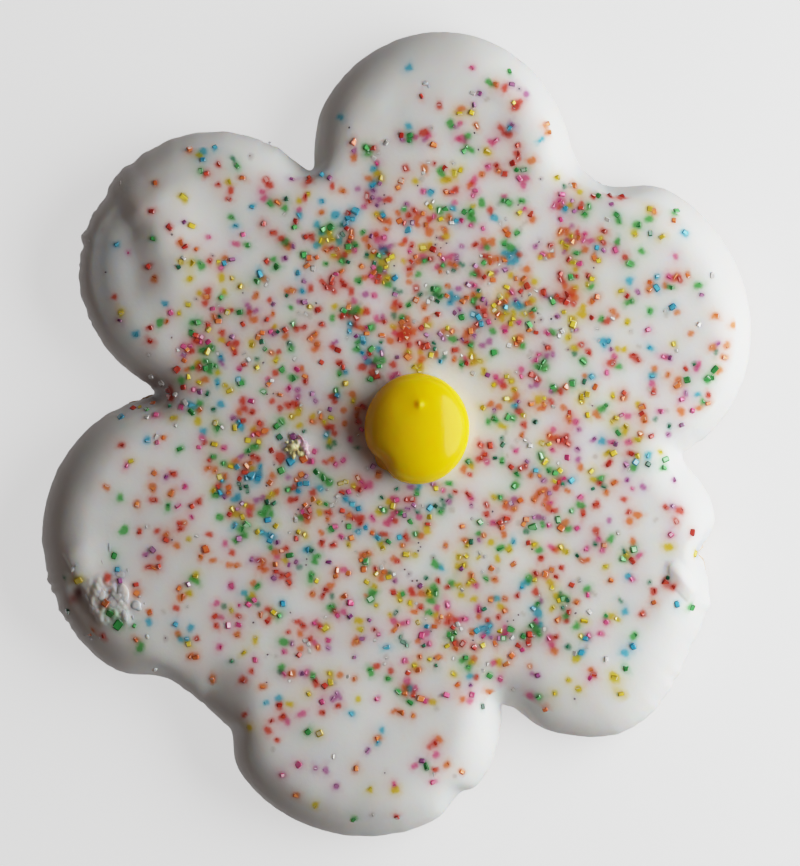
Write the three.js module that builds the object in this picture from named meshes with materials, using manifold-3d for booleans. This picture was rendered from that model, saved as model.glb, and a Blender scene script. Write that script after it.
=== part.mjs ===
// A flower-shaped sugar cookie: a baked biscuit, a poured white icing with coloured sugar crystals
// sunk in it, and a yellow sugar drop in the middle. Millimetres, +Z up. The cookie lies flat, and its
// origin is under the middle of its outline.
import * as THREE from 'three';
import { mergeVertices } from 'three/addons/utils/BufferGeometryUtils.js';
import Module from 'manifold-3d';

const wasm = await Module();
wasm.setup();

// Driving dimensions: millimetres, and degrees counted from +X towards +Y

// Each petal is an ellipse: the direction and distance of its middle, and its half sizes
const PETALS = [
  { angle: 28.4, out: 30.5, along: 17.0, across: 19.0 },
  { angle: 80.8, out: 33.2, along: 17.6, across: 16.6 },
  { angle: 137.2, out: 31.0, along: 16.8, across: 17.0 },
  { angle: 207.6, out: 29.0, along: 18.4, across: 19.2 },
  { angle: 262.8, out: 35.5, along: 14.9, across: 17.4 },
  { angle: 322.7, out: 31.3, along: 13.6, across: 18.6 },
];
const NOTCH_FILLET = 2.5;

// Where the edge swells out, is pinched in or has broken away from the round petals
const EDGE_SWELLS = [
  { angle: 49.4, spread: 4.3, reach: -2.1 },
  { angle: 107.6, spread: 2.4, reach: -2.6 },
  { angle: 141.6, spread: 2.6, reach: -0.6 },
  { angle: 226.3, spread: 4.1, reach: -1.9 },
  { angle: 235.0, spread: 2.7, reach: 1.6 },
  { angle: 240.9, spread: 1.9, reach: -1.3 },
  { angle: 279.7, spread: 2.3, reach: -1.2 },
  { angle: 293.4, spread: 1.8, reach: -1.1 },
  { angle: 308.7, spread: 12.0, reach: 3.2 },
  { angle: 339.2, spread: 4.3, reach: -2.1 },
];

// Where the icing stops short of the edge, so that the baked rim shows
const BARE_EDGES = [
  { angle: 51, spread: 6, retreat: 0.22 },
  { angle: 114, spread: 8, retreat: 0.18 },
  { angle: 132, spread: 5, retreat: 0.2 },
  { angle: 171, spread: 4, retreat: 0.3 },
  { angle: 238, spread: 6, retreat: 0.22 },
  { angle: 339, spread: 5, retreat: 0.55 },
];

// The side in section: the icing is widest at its waist and rounds over above it
const WAIST_HEIGHT = 3.8;
const SHOULDER_WIDTH = 6.0;
const SHOULDER_RISE = 5.0;
const CROWN_RISE = 0.6;
const CROWN_LENGTH = 8.0;

// The slow rise and fall of the top: waves across the cookie, and others that run slantwise
const SWAY = { rise: 0.14, lengthX: 9, phaseX: 0.8, lengthY: 11, phaseY: -0.4 };
const SLANTED_SWAY = { rise: 0.1, length: 6.5 };

const ICING_THICKNESS = 1.15;
const LAYER_GAP = 0.2;

// The icing's lower rim: its height, the waves in it (how many round the cookie), and how round it is
const ICING_RIM_HEIGHT = 1.9;
const RIM_WAVES = [
  { count: 3, rise: 0.4, phase: 0.6 },
  { count: 7, rise: 0.3, phase: 2 },
  { count: 13, rise: 0.2, phase: 0 },
];
const CHIPPED_RIM = { angle: 339, spread: 6, lift: 0.8 };
const RIM_LIP = { inset: 0.45, outerInset: 0.1, outerRise: 0.45, innerRise: 0.2 };

// The biscuit's foot: bare where the icing stops short by more than a set width
const FOOT_INSET = 0.35;
const FOOT_EDGE_RADIUS = 0.9;
const BARE_FROM = 0.4;
const FOOT_BEVEL = 0.25;
const BODY_LEDGE = 0.15;

const DROP = { x: 2.55, y: 0.75, halfWidth: 6.5, halfLength: 6.88, height: 5.3, seatDepth: 0.4 };
const DROP_FOOT = 0.84;
const DROP_SEAT = 0.9;
const DROP_SEAT_SLOPE = 0.04;
const DROP_BULGE = 0.3;
const DROP_DENT = { angle: 222, spread: 15, depth: 0.55 };
const DROP_PEAK = { x: 0.25, y: 3.1, spread: 0.8, height: 0.3 };

// A pressed fold in the icing, and the ragged patch where it has torn
const FOLD = { x: -33.4, y: 27.2, length: 3.8, width: 1.5, depth: 0.8, turn: -58 };
const TEAR = { x: -36.6, y: -19.6, length: 5.2, width: 3.4, depth: 0.6, turn: -62 };
const TEAR_LUMPS = { count: 9, largest: 2.2, smallest: 1.3, rise: 0.25 };
const TEAR_SPIRAL = { coils: 1.6, nearest: 0.3, spread: 0.6 };
const HOLLOW_RISE = 0.1;
const LUMP_SUNK = 0.05;
const STUCK_CRUMB = { x: -12.4, y: -1.4, size: 1.7 };
const LIFTED_FLAKE = { x: 35.9, y: -18.3, length: 4.6, width: 1.8, thickness: 0.8, turn: -49, tilt: 0.25 };
const FLAKE_RISE = 0.2;

// The crystals: blocks stretched by up to a share of their size and tipped by up to half a radian
const CRYSTALS = { count: 180, largest: 1.2, smallest: 0.98, spacing: 2.2, sunk: 0.12, seed: 77 };
const CRYSTAL_FORM = { leastStretch: 0.9, moreStretch: 0.3, height: 0.9, tilt: 0.5 };
const SCATTER = { x: 4, y: 3, halfWidth: 34, halfLength: 38, softness: 0.16, stray: 0.15 };
const SCATTER_FIELD = { halfWidth: 45, halfLength: 51 };
const SCATTER_MARGIN = 3.2;

// Where rings of points lie: insets from the edge, and shares of the way from there to the drop
const SIDE_INSETS = [3.6, 2.0, 0.9, 0.25, 0];
const BODY_INSETS = [2.4, 0.9, 0];
const ICING_PARTS = [1, 0.72, 0.48, 0.22];
const BISCUIT_PARTS = [1, 0.66, 0.33];
const UNDERSIDE_PART = 0.5;
const ROUND_THE_DROP = 1.25;
const STEPS_PER_PETAL = 19;
const STEP_EASING = 0.66;
const DROP_SIDES = 32;
const DOME_ANGLES = [80, 68, 55, 42, 29, 15, 0];
const UNDERCUT = [
  { scale: 0.96, rise: 0.45 },
  { scale: DROP_FOOT + 0.03, rise: 0.1 },
  { scale: DROP_FOOT, rise: 0 },
];

const radians = THREE.MathUtils.degToRad;
const smoothstep = THREE.MathUtils.smoothstep;

// Shapes of the outline

function angleBetween(a, b) {
  return ((a - b + 540) % 360) - 180;
}

function bellSum(places, angle, amount) {
  return places.reduce((sum, place) => {
    const away = angleBetween(angle, place.angle) / place.spread;
    return sum + place[amount] * Math.exp(-away * away);
  }, 0);
}

// How far a ray from the middle goes before it leaves the petal, or 0 if it misses it
function petalReach(petal, angle) {
  const turn = radians(angle - petal.angle);
  const along = Math.cos(turn);
  const across = Math.sin(turn);
  const a = (along / petal.along) ** 2 + (across / petal.across) ** 2;
  const b = (petal.out * along) / petal.along ** 2;
  const c = (petal.out / petal.along) ** 2 - 1;
  const root = b * b - a * c;
  return root > 0 && along > 0 ? (b + Math.sqrt(root)) / a : 0;
}

function petalsReach(angle) {
  const reaches = PETALS.map((petal) => petalReach(petal, angle));
  const longest = Math.max(...reaches);
  const sum = reaches.reduce((total, reach) => total + Math.exp((reach - longest) / NOTCH_FILLET), 0);
  return longest + NOTCH_FILLET * Math.log(sum);
}

function edgeReach(angle) {
  return petalsReach(angle) + bellSum(EDGE_SWELLS, angle, 'reach');
}

function polar(reach, angle) {
  return new THREE.Vector2(reach, 0).rotateAround(new THREE.Vector2(), radians(angle));
}

function outwardNormal(reach, angle) {
  const step = 0.8;
  const before = polar(reach(angle - step), angle - step);
  const after = polar(reach(angle + step), angle + step);
  const along = after.sub(before).normalize();
  return new THREE.Vector2(along.y, -along.x);
}

function notchAngle(petal, next) {
  const span = angleBetween(next.angle, petal.angle);
  const steps = 120;
  const angles = Array.from({ length: steps }, (_, i) => petal.angle + (span * (i + 1)) / (steps + 1));
  return angles.reduce((best, angle) => (edgeReach(angle) < edgeReach(best) ? angle : best));
}

// Directions round the cookie, closer together at the notches
function edgeAngles() {
  const notches = PETALS.map((petal, i) => notchAngle(petal, PETALS[(i + 1) % PETALS.length]));
  return notches.flatMap((notch, i) => {
    const span = (notches[(i + 1) % notches.length] - notch + 360) % 360;
    return Array.from({ length: STEPS_PER_PETAL }, (_, j) => {
      const part = j / STEPS_PER_PETAL;
      const eased = part - (STEP_EASING * Math.sin(2 * Math.PI * part)) / (2 * Math.PI);
      return notch + span * eased;
    });
  });
}

const EDGE = edgeAngles().map((angle) => {
  const round = polar(petalsReach(angle), angle);
  const edge = polar(edgeReach(angle), angle);
  return {
    angle,
    round,
    swell: edge.sub(round),
    retreat: bellSum(BARE_EDGES, angle, 'retreat'),
    normal: outwardNormal(petalsReach, angle),
    facing: outwardNormal(edgeReach, angle),
  };
});
const ROUND_OUTLINE = Array.from({ length: 360 }, (_, angle) => polar(petalsReach(angle), angle));

function distanceToSegment(x, y, a, b) {
  const dx = b.x - a.x;
  const dy = b.y - a.y;
  const along = ((x - a.x) * dx + (y - a.y) * dy) / (dx * dx + dy * dy);
  const part = Math.min(Math.max(along, 0), 1);
  return Math.hypot(x - a.x - part * dx, y - a.y - part * dy);
}

function edgeDistance(x, y) {
  const distances = ROUND_OUTLINE.map((point, i) => {
    const next = ROUND_OUTLINE[(i + 1) % ROUND_OUTLINE.length];
    return distanceToSegment(x, y, point, next);
  });
  return Math.min(...distances);
}

// Heights of the icing and of the biscuit under it

// How far a quarter ellipse has risen, some way in from the widest place
function shoulder(inset, width, rise) {
  const left = 1 - Math.min(inset / width, 1);
  return rise * Math.sqrt(1 - left * left);
}

function crown(inset) {
  return CROWN_RISE * (1 - Math.exp(-Math.max(inset, 0) / CROWN_LENGTH));
}

function sway(x, y) {
  const acrossX = Math.sin(x / SWAY.lengthX + SWAY.phaseX);
  const acrossY = Math.cos(y / SWAY.lengthY + SWAY.phaseY);
  return SWAY.rise * acrossX * acrossY + SLANTED_SWAY.rise * Math.sin((x - y) / SLANTED_SWAY.length);
}

function icingHeight(x, y) {
  const inset = edgeDistance(x, y);
  const calm = smoothstep(inset, 0, SHOULDER_WIDTH);
  return WAIST_HEIGHT + shoulder(inset, SHOULDER_WIDTH, SHOULDER_RISE) + crown(inset) + calm * sway(x, y);
}

function biscuitHeight(x, y) {
  return icingHeight(x, y) - ICING_THICKNESS;
}

// The biscuit's rounded shoulder, some way in from its own widest place
function bodyHeight(inset) {
  const width = SHOULDER_WIDTH - ICING_THICKNESS;
  const rise = SHOULDER_RISE - ICING_THICKNESS;
  return WAIST_HEIGHT + shoulder(inset, width, rise) + crown(ICING_THICKNESS + inset);
}

// Height of the icing's lower rim, which runs unevenly round the side
function rimHeight(angle) {
  const waves = RIM_WAVES.map((wave) => wave.rise * Math.sin(wave.count * radians(angle) + wave.phase));
  const chip = bellSum([CHIPPED_RIM], angle, 'lift');
  return waves.reduce((sum, wave) => sum + wave, ICING_RIM_HEIGHT + chip);
}

// Rings of points round the cookie

// Inset from the round petals, with the edge's swells and bare places fading out further in
function insetPoint(edge, inset, gap) {
  const fading = (1 - smoothstep(inset, 0, SHOULDER_WIDTH)) ** 2;
  const point = edge.round.clone().addScaledVector(edge.normal, -inset - edge.retreat * fading);
  const facing = edge.normal.clone().lerp(edge.facing, fading).normalize();
  return point.addScaledVector(edge.swell, fading).addScaledVector(facing, gap);
}

// A ring may stand off by a gap from the one of the same inset
function ring(inset, height, gap = 0) {
  return EDGE.map((edge) => {
    const own = typeof inset === 'function' ? inset(edge) : inset;
    const point = insetPoint(edge, own, gap);
    return new THREE.Vector3(point.x, point.y, height(edge, point));
  });
}

function dropOutline(angle, scale) {
  const turn = radians(angle);
  const dent = bellSum([DROP_DENT], angle, 'depth');
  const x = DROP.x + scale * (DROP.halfWidth - dent) * Math.cos(turn);
  const y = DROP.y + scale * (DROP.halfLength - dent) * Math.sin(turn);
  return new THREE.Vector2(x, y);
}

// A ring part of the way from the shoulder's inner ring to a scaled outline of the drop,
// with half as many points
function innerRing(outer, part, scale, height) {
  return outer.filter((_, i) => i % 2 === 0).map((start) => {
    const angle = THREE.MathUtils.radToDeg(Math.atan2(start.y - DROP.y, start.x - DROP.x));
    const end = dropOutline(angle, scale);
    const x = THREE.MathUtils.lerp(start.x, end.x, part);
    const y = THREE.MathUtils.lerp(start.y, end.y, part);
    return new THREE.Vector3(x, y, height(x, y));
  });
}

// Closed bodies from rings

function stitch(faces, a, b, startA, startB) {
  const countA = a.length;
  const countB = b.length;
  const at = (start, count, i) => start + (i % count);
  for (let i = 0; i < Math.min(countA, countB); i += 1) {
    if (countA === countB) {
      faces.push(at(startA, countA, i), at(startB, countB, i), at(startB, countB, i + 1));
      faces.push(at(startA, countA, i), at(startB, countB, i + 1), at(startA, countA, i + 1));
    } else if (countA < countB) {
      faces.push(at(startA, countA, i), at(startB, countB, 2 * i), at(startB, countB, 2 * i + 1));
      faces.push(at(startA, countA, i), at(startB, countB, 2 * i + 1), at(startA, countA, i + 1));
      faces.push(at(startA, countA, i + 1), at(startB, countB, 2 * i + 1), at(startB, countB, 2 * i + 2));
    } else {
      faces.push(at(startA, countA, 2 * i), at(startB, countB, i), at(startA, countA, 2 * i + 1));
      faces.push(at(startA, countA, 2 * i + 1), at(startB, countB, i), at(startB, countB, i + 1));
      faces.push(at(startA, countA, 2 * i + 1), at(startB, countB, i + 1), at(startA, countA, 2 * i + 2));
    }
  }
}

// Joins rings from a first middle point, outwards and down, and back in to a last middle point
function closedBody(first, rings, last) {
  const points = [first, ...rings.flat(), last];
  const faces = [];
  const end = points.length - 1;
  let start = 1;
  rings[0].forEach((_, i, own) => faces.push(0, 1 + i, 1 + ((i + 1) % own.length)));
  rings.slice(1).forEach((next, i) => {
    stitch(faces, rings[i], next, start, start + rings[i].length);
    start += rings[i].length;
  });
  rings.at(-1).forEach((_, i, own) => faces.push(end, start + ((i + 1) % own.length), start + i));
  const geometry = new THREE.BufferGeometry();
  const positions = points.flatMap((point) => point.toArray());
  geometry.setAttribute('position', new THREE.Float32BufferAttribute(positions, 3));
  geometry.setIndex(faces);
  return geometry;
}

// The biscuit: a flat foot that shows under the icing, and a rounded body inside it

function biscuitGeometry() {
  const body = (inset) => ring(ICING_THICKNESS + inset, () => bodyHeight(inset));
  const foot = (inset, height) => ring((edge) => {
    const own = FOOT_INSET * (1 - Math.min(edge.retreat / BARE_FROM, 1));
    return own + inset - edge.retreat;
  }, height);
  const shelf = (edge) => rimHeight(edge.angle) - LAYER_GAP;
  const topEdge = ring(SHOULDER_WIDTH, (edge, point) => biscuitHeight(point.x, point.y));
  return closedBody(
    new THREE.Vector3(DROP.x, DROP.y, biscuitHeight(DROP.x, DROP.y)),
    [
      ...BISCUIT_PARTS.map((part) => innerRing(topEdge, part, 1, biscuitHeight)),
      topEdge,
      ...BODY_INSETS.map(body),
      ring(ICING_THICKNESS, (edge) => shelf(edge) + BODY_LEDGE),
      foot(FOOT_BEVEL, shelf),
      foot(0, (edge) => shelf(edge) - FOOT_BEVEL),
      foot(0, () => FOOT_EDGE_RADIUS * 0.7),
      foot(FOOT_EDGE_RADIUS, () => 0),
      innerRing(ring(ICING_THICKNESS, () => 0), UNDERSIDE_PART, 1, () => 0),
    ],
    new THREE.Vector3(DROP.x, DROP.y, 0),
  );
}

// The icing: a shell over the biscuit, with a seat for the drop and a round lower rim

function icingShell() {
  const side = (inset) => ring(inset, () => {
    return WAIST_HEIGHT + shoulder(inset, SHOULDER_WIDTH, SHOULDER_RISE) + crown(inset);
  });
  const lip = (inset, rise) => ring(inset, (edge) => rimHeight(edge.angle) + rise);
  const inside = (inset) => ring(ICING_THICKNESS + inset, () => bodyHeight(inset) + LAYER_GAP, LAYER_GAP);
  const underHeight = (x, y) => biscuitHeight(x, y) + LAYER_GAP;
  const topEdge = ring(SHOULDER_WIDTH, (edge, point) => icingHeight(point.x, point.y));
  const underEdge = ring(SHOULDER_WIDTH, (edge, point) => underHeight(point.x, point.y));
  const seatLevel = icingHeight(DROP.x, DROP.y) - DROP.seatDepth;
  return closedBody(
    new THREE.Vector3(DROP.x, DROP.y, seatLevel),
    [
      innerRing(topEdge, 1, DROP_SEAT, () => seatLevel),
      innerRing(topEdge, 1, DROP_SEAT + DROP_SEAT_SLOPE, icingHeight),
      ...ICING_PARTS.map((part) => innerRing(topEdge, part, ROUND_THE_DROP, icingHeight)),
      topEdge,
      ...SIDE_INSETS.map(side),
      lip(RIM_LIP.outerInset, RIM_LIP.outerRise),
      lip(RIM_LIP.inset, 0),
      ring(ICING_THICKNESS, (edge) => rimHeight(edge.angle) + RIM_LIP.innerRise, LAYER_GAP),
      ...BODY_INSETS.toReversed().map(inside),
      underEdge,
      ...BISCUIT_PARTS.toReversed().map((part) => innerRing(underEdge, part, 1, underHeight)),
    ],
    new THREE.Vector3(DROP.x, DROP.y, underHeight(DROP.x, DROP.y)),
  );
}

// Solids for joining and cutting

function toSolid(geometry) {
  const bare = geometry.clone();
  bare.deleteAttribute('normal');
  bare.deleteAttribute('uv');
  const merged = mergeVertices(bare, 1e-4);
  const vertProperties = new Float32Array(merged.attributes.position.array);
  const triVerts = new Uint32Array(merged.index.array);
  return new wasm.Manifold(new wasm.Mesh({ numProp: 3, vertProperties, triVerts }));
}

function toGeometry(solid) {
  const mesh = solid.getMesh();
  const geometry = new THREE.BufferGeometry();
  geometry.setAttribute('position', new THREE.BufferAttribute(mesh.vertProperties, 3));
  geometry.setIndex(new THREE.BufferAttribute(mesh.triVerts, 1));
  return geometry;
}

function seededDraws(seed) {
  let state = seed >>> 0;
  return () => {
    state = (Math.imul(state, 1664525) + 1013904223) >>> 0;
    return state / 4294967296;
  };
}

// Sugar crystals, thickest over an oval patch and thinning out towards the petals' ends

function scatterShare(x, y) {
  const away = Math.hypot((x - SCATTER.x) / SCATTER.halfWidth, (y - SCATTER.y) / SCATTER.halfLength);
  const patch = 1 / (1 + Math.exp((away - 1) / SCATTER.softness));
  return SCATTER.stray + (1 - SCATTER.stray) * patch;
}

function nearDrop(x, y, margin) {
  const across = (x - DROP.x) / (DROP.halfWidth + margin);
  const along = (y - DROP.y) / (DROP.halfLength + margin);
  return Math.hypot(across, along) < 1;
}

function crystalPlaces() {
  const draw = seededDraws(CRYSTALS.seed);
  const places = [];
  while (places.length < CRYSTALS.count) {
    const x = (draw() * 2 - 1) * SCATTER_FIELD.halfWidth;
    const y = (draw() * 2 - 1) * SCATTER_FIELD.halfLength;
    const chance = draw();
    const inside = Math.hypot(x, y) < edgeReach(THREE.MathUtils.radToDeg(Math.atan2(y, x)));
    const clear = places.every((other) => Math.hypot(other.x - x, other.y - y) > CRYSTALS.spacing);
    if (inside && clear && chance < scatterShare(x, y) && !nearDrop(x, y, 1)) {
      if (edgeDistance(x, y) > SCATTER_MARGIN) {
        places.push({ x, y });
      }
    }
  }
  return places;
}

function crystal(place, index) {
  const draw = seededDraws(CRYSTALS.seed * 1000 + index);
  const part = index / CRYSTALS.count;
  const size = THREE.MathUtils.lerp(CRYSTALS.largest, CRYSTALS.smallest, part);
  const stretch = CRYSTAL_FORM.leastStretch + CRYSTAL_FORM.moreStretch * draw();
  const box = new THREE.BoxGeometry(size * stretch, size, size * CRYSTAL_FORM.height);
  box.rotateX((draw() * 2 - 1) * CRYSTAL_FORM.tilt);
  box.rotateY((draw() * 2 - 1) * CRYSTAL_FORM.tilt);
  box.rotateZ(draw() * Math.PI);
  box.translate(place.x, place.y, icingHeight(place.x, place.y) + CRYSTALS.sunk);
  return toSolid(box);
}

// Marks in the icing

// A smooth lens-shaped hollow, as a cutter
function hollow(mark) {
  const ball = new THREE.SphereGeometry(1, 12, 8);
  ball.scale(mark.length, mark.width, mark.depth);
  ball.rotateZ(radians(mark.turn));
  ball.translate(mark.x, mark.y, icingHeight(mark.x, mark.y) + HOLLOW_RISE);
  return toSolid(ball);
}

// An uneven lump, pressed halfway into the icing or into a hollow of some depth
function lump(x, y, size, turn, depth) {
  const stone = new THREE.DodecahedronGeometry(size, 0);
  stone.scale(1, 0.8, 0.6);
  stone.rotateX(turn * 0.3);
  stone.rotateZ(turn);
  stone.translate(x, y, icingHeight(x, y) - depth - LUMP_SUNK);
  return toSolid(stone);
}

function tearLumps() {
  const draw = seededDraws(CRYSTALS.seed + 5);
  const turn = radians(TEAR.turn);
  return Array.from({ length: TEAR_LUMPS.count }, (_, i) => {
    const part = i / TEAR_LUMPS.count;
    const spin = part * 2 * Math.PI * TEAR_SPIRAL.coils;
    const out = TEAR_SPIRAL.nearest + TEAR_SPIRAL.spread * draw();
    const along = TEAR.length * out * Math.cos(spin);
    const across = TEAR.width * out * Math.sin(spin);
    const x = TEAR.x + along * Math.cos(turn) - across * Math.sin(turn);
    const y = TEAR.y + along * Math.sin(turn) + across * Math.cos(turn);
    const size = THREE.MathUtils.lerp(TEAR_LUMPS.largest, TEAR_LUMPS.smallest, part) / 2;
    const depth = TEAR.depth * Math.sqrt(1 - out * out) - TEAR_LUMPS.rise;
    return lump(x, y, size, draw() * 2 * Math.PI, depth);
  });
}

function liftedFlake() {
  const flake = new THREE.BoxGeometry(LIFTED_FLAKE.length, LIFTED_FLAKE.width, LIFTED_FLAKE.thickness);
  flake.rotateX(LIFTED_FLAKE.tilt);
  flake.rotateZ(radians(LIFTED_FLAKE.turn));
  const level = icingHeight(LIFTED_FLAKE.x, LIFTED_FLAKE.y);
  flake.translate(LIFTED_FLAKE.x, LIFTED_FLAKE.y, level + FLAKE_RISE);
  return toSolid(flake);
}

function icingGeometry() {
  const cut = toSolid(icingShell()).subtract(hollow(FOLD)).subtract(hollow(TEAR));
  const crumb = lump(STUCK_CRUMB.x, STUCK_CRUMB.y, STUCK_CRUMB.size, 1, 0);
  const grains = crystalPlaces().map(crystal);
  return toGeometry(wasm.Manifold.union([cut, crumb, liftedFlake(), ...tearLumps(), ...grains]));
}

// The drop: a sugar dome that bulges over its foot, with a small peak left where it was cut off

function dropGeometry() {
  const seat = icingHeight(DROP.x, DROP.y) - DROP.seatDepth + LAYER_GAP;
  const angles = Array.from({ length: DROP_SIDES }, (_, i) => (360 * i) / DROP_SIDES);
  const dropRing = (scale, rise) => angles.map((angle) => {
    const point = dropOutline(angle, scale);
    const away = Math.hypot(point.x - DROP.x - DROP_PEAK.x, point.y - DROP.y - DROP_PEAK.y);
    const peak = rise > DROP.height / 2 ? DROP_PEAK.height * Math.exp(-((away / DROP_PEAK.spread) ** 2)) : 0;
    return new THREE.Vector3(point.x, point.y, seat + rise + peak);
  });
  const bulge = DROP.height * DROP_BULGE;
  const dome = DOME_ANGLES.map((angle) => {
    const turn = radians(angle);
    return dropRing(Math.cos(turn), bulge + (DROP.height - bulge) * Math.sin(turn));
  });
  return closedBody(
    new THREE.Vector3(DROP.x, DROP.y, seat + DROP.height),
    [...dome, ...UNDERCUT.map((step) => dropRing(step.scale, bulge * step.rise))],
    new THREE.Vector3(DROP.x, DROP.y, seat),
  );
}

// The finished cookie

function finish(color, roughness) {
  return new THREE.MeshStandardMaterial({ color, roughness, metalness: 0 });
}

function piece(name, geometry, material) {
  const mesh = new THREE.Mesh(geometry, material);
  mesh.name = name;
  return mesh;
}

const cookie = new THREE.Group();
cookie.add(piece('biscuit', biscuitGeometry(), finish(0xa8774a, 0.85)));
cookie.add(piece('icing', icingGeometry(), finish(0xd2cfcc, 0.35)));
cookie.add(piece('drop', dropGeometry(), finish(0xe0c400, 0.2)));

// The outline's box is centred on the origin
const outlineBox = new THREE.Box2().setFromPoints(EDGE.map((edge) => edge.round.clone().add(edge.swell)));
const middle = outlineBox.getCenter(new THREE.Vector2());
cookie.position.set(-middle.x, -middle.y, 0);

export default cookie;
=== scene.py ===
# An iced sugar cookie in the shape of a flower with six uneven petals, lying on a pale floor and seen
# from straight above. Shapes are worked out in millimetres and made in metres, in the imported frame.
import math

import bmesh
import bpy
import numpy as np
from mathutils import Matrix, Vector, geometry, kdtree


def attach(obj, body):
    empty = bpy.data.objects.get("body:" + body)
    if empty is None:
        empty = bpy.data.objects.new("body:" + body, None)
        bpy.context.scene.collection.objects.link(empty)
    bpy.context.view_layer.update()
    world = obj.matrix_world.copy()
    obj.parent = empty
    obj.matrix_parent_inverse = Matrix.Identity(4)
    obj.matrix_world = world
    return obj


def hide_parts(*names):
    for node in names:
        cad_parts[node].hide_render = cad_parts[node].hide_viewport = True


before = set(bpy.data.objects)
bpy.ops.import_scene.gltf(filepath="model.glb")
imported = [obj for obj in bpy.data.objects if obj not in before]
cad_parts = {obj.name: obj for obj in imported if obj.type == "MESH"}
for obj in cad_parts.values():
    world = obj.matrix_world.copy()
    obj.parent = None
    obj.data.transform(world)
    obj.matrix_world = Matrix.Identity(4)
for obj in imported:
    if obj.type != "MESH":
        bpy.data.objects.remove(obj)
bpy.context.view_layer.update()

# The biscuit: baked dough cut out with a flower-shaped cutter. Its foot shows below the icing and
# where the icing stops short of the edge, and its flat underside lay on the baking sheet.

MM = 0.001

# Each petal is an ellipse: its direction, how far out its middle is, and its half sizes
PETALS = [
    (28.4, 30.5, 17.0, 19.0),
    (80.8, 33.2, 17.6, 16.6),
    (137.2, 31.0, 16.8, 17.0),
    (207.6, 29.0, 18.4, 19.2),
    (262.8, 35.5, 14.9, 17.4),
    (322.7, 31.3, 13.6, 18.6),
]
NOTCH_FILLET = 2.5
GRAZING_SOFTNESS = 1e-4
FINE_ANGLES = np.arange(0, 360, 0.05)
CHORD_STEP = 0.8
WAVE_COUNT = 12

# Direction, spread and reach of each place where the edge swells out, is pinched in or has chipped
EDGE_SWELLS = [
    (49.4, 4.3, -2.1),
    (107.6, 2.4, -2.6),
    (141.6, 2.6, -0.6),
    (226.3, 4.1, -1.9),
    (235.0, 2.7, 1.6),
    (240.9, 1.9, -1.3),
    (279.7, 2.3, -1.2),
    (293.4, 1.8, -1.1),
    (308.7, 12.0, 3.2),
    (339.2, 4.3, -2.1),
]

# Direction, spread and width of each place where the icing stops short and the baked rim shows
BARE_EDGES = [
    (51, 6, 0.22),
    (114, 8, 0.18),
    (132, 5, 0.2),
    (171, 4, 0.3),
    (238, 6, 0.22),
    (339, 5, 0.34),
]

# Direction, spread and depth of each stretch where the edge is ragged
RAGGED_EDGES = [
    (113, 5, 0.06),
    (132, 5, 0.08),
    (150, 9, 0.13),
    (206, 6, 0.12),
    (318, 10, 0.08),
    (339, 5, 0.15),
]
EVEN_RAGGEDNESS = 0.022
RAGGED_DEPTH = 1.2

WAIST_HEIGHT = 3.8
SHOULDER_WIDTH = 6.0
SHOULDER_RISE = 5.0
CROWN_RISE = 0.6
CROWN_LENGTH = 8.0
ICING_THICKNESS = 1.15
LAYER_GAP = 0.2
RIM_HEIGHT = 1.9
CHIPPED_RIM = (339, 6, 0.8)
FOOT_INSET = 0.35
FOOT_EDGE_RADIUS = 0.9
FOOT_EDGE_HEIGHT = 0.7 * FOOT_EDGE_RADIUS

# How far in the rings of the biscuit's body and of the icing's lining lie, and the nets inside them
BODY_INSETS = (0, 0.9, 2.4)
CAP_MARGIN = SHOULDER_WIDTH + 0.8


def smoothstep(value, low, high):
    part = np.clip((value - low) / (high - low), 0, 1)
    return part * part * (3 - 2 * part)


def between(value, low, full, fading, end):
    """Rises from 0 to 1 between the first two marks, and falls back to 0 between the last two."""
    return smoothstep(value, low, full) * (1 - smoothstep(value, fading, end))


def bell(value, width, centre=0.0):
    """A soft bump, 1 high at its centre."""
    return np.exp(-(((value - centre) / width) ** 2))


def bells(places, angle):
    """Soft bumps at set directions, added up; each place has a direction, a spread and an amount."""
    total = np.zeros_like(angle, dtype=float)
    for direction, spread, amount in places:
        away = (angle - direction + 180) % 360 - 180
        total += amount * bell(away, spread)
    return total


def petals_reach(angle):
    """How far the round petals reach from the middle, with the notches between them filleted.

    The terms a, b and root are those of the square equation for where a line from the middle leaves a
    petal. Where the line only grazes the petal, the softness keeps the outline free of kinks.
    """
    filleted = np.zeros_like(angle, dtype=float)
    for direction, out, along, across in PETALS:
        turn = np.radians(angle - direction)
        a = (np.cos(turn) / along) ** 2 + (np.sin(turn) / across) ** 2
        b = out * np.cos(turn) / along**2
        root = b * b - a * ((out / along) ** 2 - 1)
        reach = (b + root / (root * root + GRAZING_SOFTNESS**2) ** 0.25) / a
        filleted += np.exp(np.where(np.cos(turn) > 0, np.maximum(reach, 0), 0) / NOTCH_FILLET)
    return NOTCH_FILLET * np.log(filleted)


def edge_reach(angle):
    return petals_reach(angle) + bells(EDGE_SWELLS, angle)


def polar(reach, angle):
    turn = np.radians(angle)
    return np.column_stack([reach * np.cos(turn), reach * np.sin(turn)])


def outward(reach_of, angle):
    """Outward directions across an outline, from the chord between two near directions."""
    before, after = angle - CHORD_STEP, angle + CHORD_STEP
    chord = polar(reach_of(after), after) - polar(reach_of(before), before)
    chord /= np.linalg.norm(chord, axis=1)[:, None]
    return np.column_stack([chord[:, 1], -chord[:, 0]])


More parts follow.
